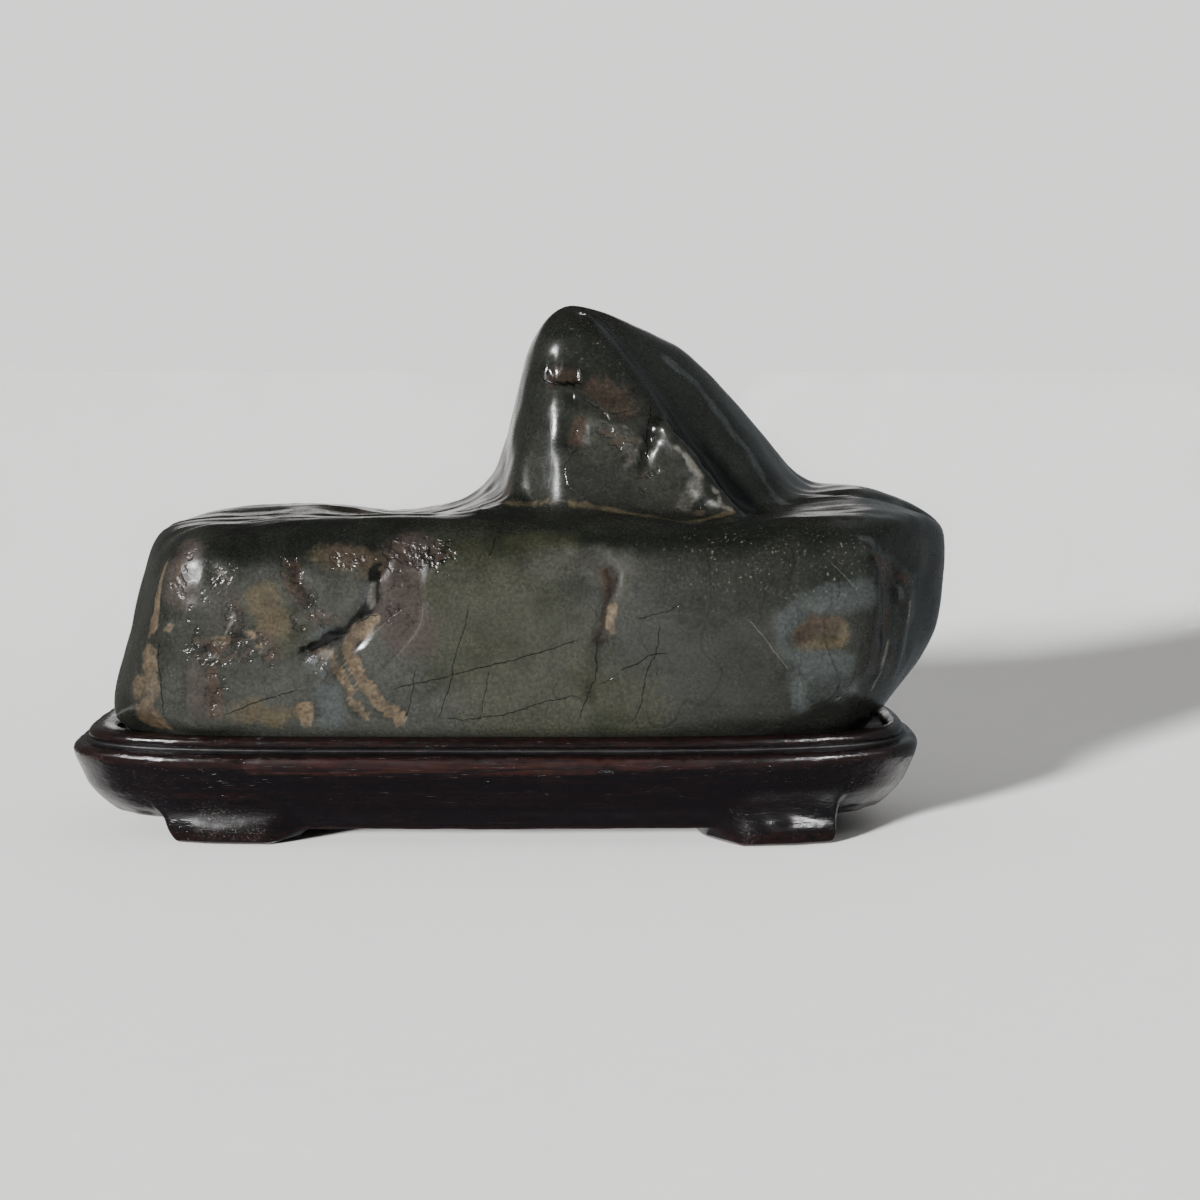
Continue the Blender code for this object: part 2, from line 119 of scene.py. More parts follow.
def path_distance(points: Array, path: Sequence[Point]) -> Array:
    """Distance of the points from a path of one or more straight steps."""
    corners = np.array(path, dtype=float)
    nearest = np.linalg.norm(points - corners[0], axis=1)
    for start, end in zip(corners[:-1], corners[1:]):
        step = end - start
        share = np.clip((points - start) @ step / (step @ step), 0, 1)
        nearest = np.minimum(nearest, np.linalg.norm(points - start - share[:, None] * step, axis=1))
    return nearest


def side_of_path(points: Array, path: Sequence[Point]) -> Array:
    """Signed distance from a path as seen from the show side, positive on the right of its direction.

    Args:
        points: places in millimetres.
        path: corners of the path, whose X and Z are used.

    Returns:
        The distance from the nearest step of the path, signed by the side of it that the point lies on.
    """
    flat = points[:, [0, 2]]
    corners = np.array(path, dtype=float)[:, [0, 2]]
    best = np.full(len(points), np.inf)
    signed = np.zeros(len(points))
    for start, end in zip(corners[:-1], corners[1:]):
        step = end - start
        share = np.clip((flat - start) @ step / (step @ step), 0, 1)
        away = flat - start - share[:, None] * step
        distance = np.linalg.norm(away, axis=1)
        side = np.sign((flat[:, 0] - start[0]) * step[1] - (flat[:, 1] - start[1]) * step[0])
        nearer = distance < best
        best = np.where(nearer, distance, best)
        signed = np.where(nearer, distance * side, signed)
    return signed


# ---------------------------------------------------------------- meshes

def new_object(name: str, data: bpy.types.ID) -> bpy.types.Object:
    """Make an object at the origin and link it to the scene."""
    made = bpy.data.objects.new(name, data)
    bpy.context.collection.objects.link(made)
    return made


def closed_grid(name: str, rings: Array, bottom: Array, top: Array) -> bpy.types.Object:
    """Make a closed body of rings of points, with a fan of triangles at each end.

    Args:
        name: the object's name.
        rings: levels x columns x 3 places in millimetres, from the bottom ring to the top one.
        bottom: the point that closes the lowest ring.
        top: the point that closes the highest ring.

    Returns:
        The new object at the origin, smooth shaded and linked to the scene.
    """
    levels, columns = rings.shape[:2]
    points = np.concatenate([rings.reshape(-1, 3), bottom[None], top[None]]) * MM
    here = np.arange(columns)
    beside = (here + 1) % columns
    level = np.arange(levels - 1)[:, None] * columns
    quads = np.stack([level + here, level + beside, level + columns + beside, level + columns + here], axis=-1)
    under, over = levels * columns, levels * columns + 1
    last = (levels - 1) * columns
    fans = np.concatenate([
        np.stack([np.full(columns, under), beside, here], axis=-1),
        np.stack([np.full(columns, over), last + here, last + beside], axis=-1),
    ])
    mesh = bpy.data.meshes.new(name)
    mesh.from_pydata(points.tolist(), [], quads.reshape(-1, 4).tolist() + fans.tolist())
    mesh.shade_smooth()
    return new_object(name, mesh)


def write_mask(piece: bpy.types.Object, name: str, values: Array) -> None:
    """Store one number per vertex under a name that the materials read."""
    layer = piece.data.attributes.new(name, "FLOAT", "POINT")
    layer.data.foreach_set("value", np.ascontiguousarray(values, dtype=np.float32))


def rounded_oblong(centre_x: float, centre_y: float, half_length: float, half_depth: float,
                   squareness: float | Array, turns: Array) -> Array:
    """Plan points of a rounded oblong: cosine and sine of the turn, raised to 2 over the squareness."""
    across, along = np.cos(turns), np.sin(turns)
    power = 2 / squareness
    x = centre_x + half_length * np.sign(across) * np.abs(across) ** power
    y = centre_y + half_depth * np.sign(along) * np.abs(along) ** power
    return np.stack([x, y], axis=1)


def even_turns(outline: Callable[[Array], Array], count: int, crowding: Callable[[Array], Array]) -> Array:
    """Turns that place points along an outline at steps that a rule makes closer or wider.

    Args:
        outline: rule from turns to plan points.
        count: how many points to place.
        crowding: rule from plan points to how crowded they are there.

    Returns:
        The turns, in radians, counted from +X.
    """
    turns = np.linspace(0, 2 * np.pi, 4 * count + 1)
    points = outline(turns)
    lengths = np.linalg.norm(np.diff(points, axis=0), axis=1) * crowding((points[1:] + points[:-1]) / 2)
    travelled = np.concatenate([[0], np.cumsum(lengths)])
    return np.interp(np.arange(count) / count * travelled[-1], travelled, turns)


# ---------------------------------------------------------------- node trees

Input = bpy.types.NodeSocket | float | tuple


class Bench:
    """Places nodes in one tree and joins them."""

    def __init__(self, tree: bpy.types.NodeTree) -> None:
        """Start on an empty tree."""
        self.tree = tree
        self.placed = 0

    def node(self, kind: str, **settings: object) -> bpy.types.Node:
        """Place one node.

        Args:
            kind: the node's type, without its ShaderNode prefix.
            **settings: properties to set on it.

        Returns:
            The node.
        """
        node = self.tree.nodes.new(kind if kind.startswith("Node") else "ShaderNode" + kind)
        node.location = (self.placed // 8 * 190, -(self.placed % 8) * 170)
        self.placed += 1
        for name, value in settings.items():
            setattr(node, name, value)
        return node

    def feed(self, socket: bpy.types.NodeSocket, value: Input) -> None:
        """Join a socket to another, or set its own value."""
        if isinstance(value, bpy.types.NodeSocket):
            self.tree.links.new(value, socket)
        elif socket.type == "RGBA":
            socket.default_value = (*value, 1.0)
        else:
            socket.default_value = value

    def math(self, operation: str, *values: Input, clamp: bool = False) -> bpy.types.NodeSocket:
        """Work out one Math operation."""
        node = self.node("Math", operation=operation, use_clamp=clamp)
        for socket, value in zip(node.inputs, values):
            self.feed(socket, value)
        return node.outputs[0]

    def total(self, *values: Input) -> bpy.types.NodeSocket:
        """Add values up."""
        return reduce(lambda first, second: self.math("ADD", first, second), values)

    def product(self, *values: Input) -> bpy.types.NodeSocket:
        """Multiply values."""
        return reduce(lambda first, second: self.math("MULTIPLY", first, second), values)

    def weighted(self, *parts: tuple[Input, float]) -> bpy.types.NodeSocket:
        """Add values up, each times its weight."""
        return self.total(*(self.product(value, weight) for value, weight in parts))

    def without(self, value: Input) -> bpy.types.NodeSocket:
        """One less the value."""
        return self.math("SUBTRACT", 1.0, value)

    def vector(self, operation: str, *values: Input) -> bpy.types.NodeSocket:
        """Work out one Vector Math operation."""
        node = self.node("VectorMath", operation=operation)
        for socket, value in zip(node.inputs, values):
            self.feed(socket, value)
        return node.outputs[0]

    def scale(self, place: Input, factor: Input) -> bpy.types.NodeSocket:
        """Multiply a place or a colour by one factor."""
        node = self.node("VectorMath", operation="SCALE")
        self.feed(node.inputs[0], place)
        self.feed(node.inputs["Scale"], factor)
        return node.outputs[0]

    def split(self, place: Input) -> tuple[bpy.types.NodeSocket, ...]:
        """X, Y and Z of a place."""
        node = self.node("SeparateXYZ")
        self.feed(node.inputs[0], place)
        return tuple(node.outputs)

    def stretch(self, place: Input, sizes: tuple[float, float, float]) -> bpy.types.NodeSocket:
        """Divide a place in millimetres by the size of a pattern along each axis."""
        return self.vector("MULTIPLY", place, tuple(1 / size for size in sizes))

    def ramp(self, value: Input, low: Input, high: Input, ends: tuple[float, float] = (0.0, 1.0)
             ) -> bpy.types.NodeSocket:
        """Ease a value between two ends as it goes from low to high."""
        node = self.node("MapRange", interpolation_type="SMOOTHSTEP")
        for socket, part in zip(node.inputs, (value, low, high, *ends)):
            self.feed(socket, part)
        return node.outputs[0]

    def mix(self, share: Input, under: Input, over: Input) -> bpy.types.NodeSocket:
        """Lay one colour over another."""
        node = self.node("Mix", data_type="RGBA")
        self.feed(node.inputs["Factor"], share)
        self.feed(node.inputs[6], under)
        self.feed(node.inputs[7], over)
        return node.outputs[2]

    def lay(self, under: Input, *layers: tuple[Input, Input, Input]) -> bpy.types.NodeSocket:
        """Lay colours over one another, each where its mask is, as strongly as its share."""
        for mask, share, over in layers:
            under = self.mix(self.product(mask, share), under, over)
        return under

    def noise(self, place: Input, scale: float = 1.0, detail: float = 2.0, roughness: float = 0.5,
              distortion: float = 0.0) -> bpy.types.NodeSocket:
        """A noise value, about 0.5 on average."""
        node = self.node("TexNoise")
        self.feed(node.inputs["Vector"], place)
        node.inputs["Scale"].default_value = scale
        node.inputs["Detail"].default_value = detail
        node.inputs["Roughness"].default_value = roughness
        node.inputs["Distortion"].default_value = distortion
        return node.outputs[0]

    def grain(self, place: Input, sizes: float | tuple[float, float, float], detail: float,
              roughness: float = 0.5, distortion: float = 0.0) -> bpy.types.NodeSocket:
        """A noise value whose swells measure `sizes` millimetres along each axis."""
        across = sizes if isinstance(sizes, tuple) else (sizes, sizes, sizes)
        return self.noise(self.stretch(place, across), 1.0, detail, roughness, distortion)

    def mask(self, name: str) -> bpy.types.NodeSocket:
        """Read one of the piece's vertex masks."""
        return self.node("Attribute", attribute_name=name).outputs["Fac"]

    def place(self) -> bpy.types.NodeSocket:
        """The point's own place, in millimetres."""
        return self.scale(self.node("TexCoord").outputs["Object"], 1 / MM)

    def curve(self, value: Input, points: Sequence[tuple[float, float]]) -> bpy.types.NodeSocket:
        """Follow a curve, given by points from 0 to 1, with a value from 0 to 1."""
        node = self.node("FloatCurve")
        self.feed(node.inputs["Value"], value)
        knots = node.mapping.curves[0].points
        knots[0].location, knots[1].location = points[0], points[-1]
        for point in points[1:-1]:
            knots.new(*point)
        node.mapping.update()
        return node.outputs[0]

    def bump(self, height: Input) -> bpy.types.NodeSocket:
        """Turn a height in millimetres into a normal."""
        node = self.node("Bump")
        self.feed(node.inputs["Height"], height)
        node.inputs["Distance"].default_value = MM
        return node.outputs[0]

    def use(self, group: bpy.types.NodeTree, **values: Input) -> bpy.types.NodeSocket:
        """Place a shared effect with its own values and return its first output."""
        node = self.node("Group", node_tree=group)
        for name, value in values.items():
            self.feed(node.inputs[name.replace("_", " ")], value)
        return node.outputs[0]


def shared_effect(name: str, inputs: dict[str, str], rule: Callable[[Bench, dict], Input]) -> bpy.types.NodeTree:
    """Build one node group that materials share.

    Args:
        name: the group's name.
        inputs: each input's name and kind, Float or Vector.
        rule: joins the inputs, given by name, into the value that the group puts out.

    Returns:
        The group.
    """
    tree = bpy.data.node_groups.new(name, "ShaderNodeTree")
    for label, kind in inputs.items():
        tree.interface.new_socket(label, in_out="INPUT", socket_type="NodeSocket" + kind)
    tree.interface.new_socket("Value", in_out="OUTPUT", socket_type="NodeSocketFloat")
    bench = Bench(tree)
    given = bench.node("NodeGroupInput")
    result = rule(bench, {label: given.outputs[label] for label in inputs})
    bench.feed(bench.node("NodeGroupOutput").inputs["Value"], result)
    return tree


class Effects:
    """The effects that the stone and the wood share, each built once."""

    def __init__(self) -> None:
        """Build every group."""
        self.ragged_edge = shared_effect(
            "ragged edge", {"Amount": "Float", "Noise": "Float", "Raggedness": "Float", "Softness": "Float"},
            self._ragged_edge)
        self.grit = shared_effect("grit", {"Place": "Vector", "Size": "Float"}, self._grit)
        self.scratches = shared_effect("scratches", {"Place": "Vector", "Width": "Float"}, self._scratches)
        self.settled_dust = shared_effect(
            "settled dust", {"Place": "Vector", "Hollow": "Float", "Amount": "Float"}, self._settled_dust)
        self.line = shared_effect(
            "line", {"Offset": "Float", "Half Width": "Float", "Along": "Float", "Noise": "Float"}, self._line)

    @staticmethod
    def _ragged_edge(bench: Bench, given: dict) -> Input:
        """A crisp, uneven edge where a soft amount plus noise passes one half."""
        shift = bench.math("MULTIPLY_ADD", bench.math("SUBTRACT", given["Noise"], 0.5), given["Raggedness"],
                           given["Amount"])
        low = bench.math("SUBTRACT", 0.5, given["Softness"])
        high = bench.math("ADD", 0.5, given["Softness"])
        return bench.product(bench.ramp(shift, low, high), bench.ramp(given["Amount"], 0.02, 0.3))

    @staticmethod
    def _grit(bench: Bench, given: dict) -> Input:
        """Fine grains: two sizes of noise, multiplied."""
        place = bench.scale(given["Place"], bench.math("DIVIDE", 1.0, given["Size"]))
        coarse = bench.noise(place, 1.0, 2.0, 0.6)
        fine = bench.noise(place, 3.1, 1.0, 0.6)
        return bench.product(coarse, bench.total(fine, 0.5))

    @staticmethod
    def _scratches(bench: Bench, given: dict) -> Input:
        """Thin broken lines: where a stretched noise passes through its middle value."""
        value = bench.noise(given["Place"], 1.0, 1.0, 0.5, 0.3)
        offset = bench.math("ABSOLUTE", bench.math("SUBTRACT", value, 0.5))
        broken = bench.ramp(bench.noise(given["Place"], 0.37), 0.5, 0.6)
        return bench.product(bench.ramp(offset, given["Width"], 0.0), broken)

    @staticmethod
    def _settled_dust(bench: Bench, given: dict) -> Input:
        """Specks that gather where the surface is hollow."""
        specks = bench.ramp(bench.noise(given["Place"], 1.7, 3.0, 0.7), 0.52, 0.72)
        return bench.math("MULTIPLY", specks, bench.product(given["Hollow"], given["Amount"]), clamp=True)

    @staticmethod
    def _line(bench: Bench, given: dict) -> Input:
        """A soft-edged line: one at no offset, nothing past the half width, with tapered, wandering ends."""
        wander = bench.math("MULTIPLY_ADD", bench.math("SUBTRACT", given["Noise"], 0.5), 1.6, given["Offset"])
        width = bench.product(given["Half Width"], bench.total(given["Noise"], 0.6))
        across = bench.ramp(bench.math("ABSOLUTE", wander), width, 0.0)
        return bench.product(across, bench.ramp(given["Along"], 0.0, 0.1), bench.ramp(given["Along"], 1.0, 0.9))


# ---------------------------------------------------------------- the stand's plan

@dataclass(frozen=True)
class StandPlan:
    """The stand's plan and heights, which the stone's foot follows too."""

    length: float = 210.0
    depth: float = 92.0
    centre_x: float = -3.3
    left_squareness: float = 4.2
    right_squareness: float = 3.4
    seat_z: float = 23.5
    rim_top_z: float = 26.6
    underside_z: float = 3.6
    end_arch_z: float = 5.8
    underside_inset: float = 34.0
    left_rim_extra: float = 3.0
    left_rim_starts: float = 72.0
    left_rim_run: float = 24.0

    def ring(self, inset: float | Array, turns: Array) -> Array:
        """Plan points of one ring, set in from the widest outline, squarer at the left end."""
        squareness = np.where(np.cos(turns) < 0, self.left_squareness, self.right_squareness)
        return rounded_oblong(self.centre_x, 0, self.length / 2 - inset, self.depth / 2 - inset, squareness, turns)

    def seat_ring(self, inset: float, turns: Array) -> Array:
        """Plan points of one ring of the seat, whose rim is wider at the left end."""
        ring = self.ring(inset, turns)
        toward_left = smooth_step((self.centre_x - self.left_rim_starts - ring[:, 0]) / self.left_rim_run)[:, None]
        return ring + (self.ring(inset + self.left_rim_extra, turns) - ring) * toward_left


# ---------------------------------------------------------------- the stone's forms

class Plane(NamedTuple):
    """A plane that bounds the stone: azimuth 0 faces +X, 90 the back, 180 -X and 270 the front."""

    azimuth: float
    elevation: float
    through: Point

    def distance(self, points: Array) -> Array:
        """Signed distance of the points, positive outside."""
        turn, lift = math.radians(self.azimuth), math.radians(self.elevation)
        normal = np.array([math.cos(lift) * math.cos(turn), math.cos(lift) * math.sin(turn), math.sin(lift)])
        return (points - np.array(self.through, dtype=float)) @ normal


class Stroke(NamedTuple):
    """A soft round-ended stroke along a path: how wide it is and how strong, or how deep it is pressed."""

    path: tuple[Point, ...]
    radius: float
    strength: float = 1.0

    def press(self, points: Array) -> Array:
        """Depth of the stroke at each point: a bell curve across it."""
        return self.strength * np.exp(-(path_distance(points, self.path) / self.radius) ** 2)

    def stain(self, points: Array) -> Array:
        """Strength of the stroke as a stain: full within half its radius and gone at one and a half."""
        return self.strength * (1 - smooth_step(path_distance(points, self.path) / self.radius - 0.5))


class Ledge(NamedTuple):
    """A step along a path: the right of its direction, seen from the show side, is lower."""

    path: tuple[Point, ...]
    drop: float
    sharpness: float
    reach: float

    def press(self, points: Array) -> Array:
        """Depth at each point: a steep ease across the path that recovers away from it on both sides."""
        across = side_of_path(points, self.path)
        away = path_distance(points, self.path)
        return self.drop * 0.5 * np.tanh(across / self.sharpness) * np.exp(-(away / self.reach) ** 2)


class Run(Enum):
    """Which way a hairline mostly runs, on the show side or the back."""

    ALONG = "X"
    UPRIGHT = "Z"


class Hairline(NamedTuple):
    """A thin line on the show side or the back, as (X, Z) places that rise steadily along its run."""

    run: Run
    half_width: float
    places: tuple[tuple[float, float], ...]


FRONT_Y = -39.0


def front(*places: tuple[float, float]) -> tuple[Point, ...]:
    """A path on the stone's front face, from its X and Z."""
    return tuple((x, FRONT_Y, z) for x, z in places)


def planes(*rows: tuple[float, float, Point]) -> tuple[Plane, ...]:
    """Planes from rows: azimuth, elevation and a place on the plane."""
    return tuple(Plane(*row) for row in rows)


def strokes(*rows: tuple[float | Point, ...]) -> tuple[Stroke, ...]:
    """Strokes from rows: width, strength, then the corners of the path."""
    return tuple(Stroke(tuple(corners), width, strength) for width, strength, *corners in rows)


def front_strokes(*rows: tuple[float | tuple[float, float], ...]) -> tuple[Stroke, ...]:
    """Strokes on the stone's front face from rows: width, strength, then X and Z of each corner."""
    return tuple(Stroke(front(*corners), width, strength) for width, strength, *corners in rows)


def hairlines(run: Run, *rows: tuple[float | tuple[float, float], ...]) -> tuple[Hairline, ...]:
    """Hairlines of one run from rows: half width, then X and Z of each place."""
    return tuple(Hairline(run, half_width, tuple(places)) for half_width, *places in rows)


WALLS = planes(
    (270, 1, (0, -39.5, 50)), (246, 4, (-74, -38, 50)), (201, 14, (-94, -14, 50)), (172, 14, (-94, 6, 50)),
    (128, 10, (-84, 32, 50)), (90, 6, (0, 38, 50)), (58, 4, (88, 31, 50)), (12, -3, (107, 14, 62)),
    (330, -3, (103, -12, 62)), (8, 52, (105.2, 6, 78.2)), (350, -36, (97.8, 0, 34)), (318, -38, (86, -30, 34)),
    (268, 46, (40, -36.5, 73)), (205, 50, (-85, -16, 73.4)),
)
LEFT_FOOT = Plane(186, -2, (-98.9, -2, 30))
PLATEAU = planes(
    (88, 89, (-50, 0, 77.3)), (185, 84, (-66, 0, 76.6)),
)
RIGHT_LOBE = planes(
    (269, 80, (88, -14, 79.6)), (80, 72, (88, 24, 84.1)), (20, 62, (100, 10, 82.6)), (340, 66, (95, -14, 79.6)),
    (183, 66, (76, 16, 82)),
)
FRONT_BUTTRESS = planes(
    (190, 11, (2.3, -4, 102)), (222, 14, (8.5, -16, 95)), (276, 23, (25, -17, 95)), (345, 39, (46, -16.2, 91.7)),
    (60, 25, (30, 12, 100)), (100, 20, (12, 19, 100)), (262, 72, (18, -4, 126.8)), (195, 44, (6.8, -2, 123)),
    (0, 60, (24, 0, 127)), (240, 48, (11, -9, 121)), (0, -90, (0, 0, 66)),
)
REAR_RIDGE = planes(
    (186, 13, (3.5, 6, 102)), (268, 25, (25, -11, 95)), (300, 29, (53.5, 0, 96.5)), (341, 67, (28, 12, 126)),
    (341, 57, (42.5, 12, 119.2)), (341, 37, (54.2, 12, 105.6)), (334, 37, (63.5, -4, 90)), (58, 30, (56, 24, 104)),
    (88, 18, (30, 24, 95)), (140, 16, (8, 18, 95)), (180, 46, (7, 6, 125)), (85, 62, (26, 14, 126.2)),
    (0, -90, (0, 0, 66)),
)

# What is pressed into the main forms; a negative strength stands proud.
LEFT_LOBE_MARKS = front_strokes(
    (2.6, 0.7, (-69.5, 66), (-68.5, 62)), (2.8, -0.3, (-66.5, 66)), (2.8, 0.6, (-72.5, 52), (-74, 50)),
    (3, 0.5, (-63.5, 50)), (2.8, 0.7, (-69.5, 46)), (2.8, 0.5, (-68.5, 38), (-69.5, 33)), (6, 0.4, (-55, 56)),
    (4, 0.4, (-49, 65), (-48.5, 59)), (3, 1.2, (-47, 32)),
)
SCAR_MARKS = front_strokes(
    (6, 0.6, (-22.5, 73), (-24, 65), (-26.5, 57), (-32, 50)),
    (2.4, 0.8, (-28.5, 70.5), (-31.5, 64), (-31.5, 59), (-36.5, 53.5), (-46, 47.5)),
    (4, -0.3, (-34, 66), (-34.5, 59), (-39, 56)),
    (1.9, 1, (-33.5, 52.5), (-36.5, 47), (-35, 43), (-30.5, 35.5), (-25, 30.5)),
    (1.7, 0.9, (-39.5, 42), (-36, 34.5), (-33.5, 31.5)), (3, -0.9, (-42, 44.5), (-43.5, 42)),
)
RIGHT_MARKS = front_strokes(
    (2.2, 0.5, (24, 65.5), (24, 59), (24, 51)), (1.8, 0.5, (22, 49), (21, 42), (19.5, 37)),
    (11, -1.5, (70, 51.5), (78, 52)),
) + strokes(
    (4.2, 1.4, (70.5, -41, 51.3), (77.5, -41, 51.8)), (6.5, 2, (89, -33, 72), (93, -28, 65)),
    (4.5, 1, (91, -33, 58), (88, -34, 40)), (3.5, -0.8, (96, -24, 60), (92, -25, 42)),
)
PEAK_MARKS = strokes(
    (3.2, -1.6, (39, -15, 98), (44, -16, 91), (49, -19, 84), (53, -20, 79)), (7, 1.3, (32, -17, 88), (39, -18, 83)),
    (4.2, 1.3, (10, -10, 112), (15.5, -10, 112)), (5, 1.2, (23, -13, 107), (27.5, -13, 106)),
    (3.4, 1, (17, -16, 99), (16.5, -17, 95.5)), (2, 1.4, (34.3, -15, 104), (33.8, -16, 97.5), (33, -17, 90.5)),
    (6.5, 1.6, (47, -10, 102), (52, -10, 92), (57, -10, 81)),
)
TOP_MARKS = strokes(
    (2.6, 0.8, (-70, -16, 77), (-40, -19, 78), (-20, -22, 78)), (3, 0.8, (-60, -2, 78), (-25, -9, 78), (-8, -16, 78)),
    (3.6, 0.9, (-45, 12, 78), (-18, 4, 78)), (12, -1.5, (-70, 20, 78), (-48, 22, 78)),
    (9, 1.3, (-32, 26, 78), (-30, 10, 78)), (3, 1.6, (78, 4, 80), (92, 0, 80), (104, -2, 77)),
)
BACK_MARKS = strokes(
    (7, 2.4, (-60, 38, 66), (-48, 38, 48), (-40, 38, 34)), (9, -1.8, (-10, 39, 40), (18, 39, 50), (44, 39, 48)),
    (6, 2.2, (30, 26, 92), (44, 30, 82), (56, 36, 70)), (6, 1.8, (0, 26, 96), (-4, 34, 78)),
    (6, 2, (70, 36, 64), (84, 33, 44)), (6, 1.4, (-88, 12, 64), (-94, 10, 44)),
)
# Finer pits and ridges, worked only into this mesh.
FINE_MARKS = front_strokes(
    (1, 0.7, (-70.6, 67.5), (-69.6, 64.5)), (1, -0.5, (-67.2, 66.4)), (0.9, -0.45, (-72.4, 64), (-71.2, 61)),
    (0.8, 0.5, (-74.5, 55.5), (-73, 52)), (0.9, -0.5, (-64.5, 55.5), (-63.6, 52.5)),
    (0.7, -0.4, (-65.8, 50.2), (-63.8, 51.5)), (1, 0.6, (-70.5, 47)), (0.9, -0.5, (-68.4, 45)),
    (1.3, 0.6, (-51, 69), (-48.5, 63), (-46.5, 58.5)), (1, -0.5, (-46.2, 45.2), (-42.8, 41.8)),
    (1.1, -0.4, (27.6, 66), (27.4, 61), (25.6, 59.2)), (1.3, 0.7, (24.2, 66.2), (24.4, 60.5)),
    (1.4, 0.5, (23.2, 58.5), (22.4, 50)),
) + strokes(
    (1.4, -0.3, (7.8, -9, 98), (8.6, -10.5, 84)), (2.2, 0.3, (12.2, -12, 98), (12.6, -13, 86)),
    (3, -0.7, (26, -15, 98.5), (32, -16, 92)), (3.4, -0.6, (36.6, -17, 86), (40, -18, 81)),
    (1.7, 0.5, (33.6, -17.5, 85.6), (33.9, -18.5, 81.6)),
    (1.9, -0.6, (38, -14.5, 99), (42, -15.6, 93.5), (47, -18, 87), (52, -20, 80.5)), (3.2, -1.2, (78, 4, 80)),
    (1.6, 0.5, (-58, 41, 61), (-47, 41, 47)), (1.8, 0.5, (42, 41, 65), (50, 41, 57)),
)
MARKS = LEFT_LOBE_MARKS + SCAR_MARKS + RIGHT_MARKS + PEAK_MARKS + TOP_MARKS + BACK_MARKS + FINE_MARKS
LEDGES = (
    Ledge(front((-28.6, 71), (-31.6, 64), (-31.1, 59), (-32.2, 56.5), (-39.2, 51.5), (-42.7, 48.4), (-46.3, 47.7)),
          -0.35, 0.4, 4.0),
    Ledge(front((-24.3, 56.9), (-30.6, 52), (-34.9, 47.3)), 0.35, 0.3, 2.6),
    Ledge(front((-19.6, 63), (-19.4, 59.1), (-21.1, 51.6), (-26.2, 45.4), (-27.9, 43.7)), 0.3, 0.35, 3.2),
    Ledge(front((-49.8, 53.6), (-46, 54.6), (-42, 54)), 0.6, 0.5, 2.0),
    Ledge(front((13.5, 73.5), (15.5, 70.2), (24, 69.8), (27, 67)), 0.5, 0.5, 2.4),
    Ledge(((17.1, -13, 105.9), (20.8, -14, 104), (24.5, -14, 102.2), (29.4, -15, 103)), 0.7, 0.45, 3.2),
    Ledge(((7.3, -9, 112.2), (9.4, -10, 110.2), (12.4, -11, 109.4), (15.9, -12, 109.8), (17, -12, 112)),
          -0.5, 0.4, 2.0),
    Ledge(((14.6, -15, 94), (13.4, -15, 91), (16, -16, 87)), 0.5, 0.4, 2.0),
)


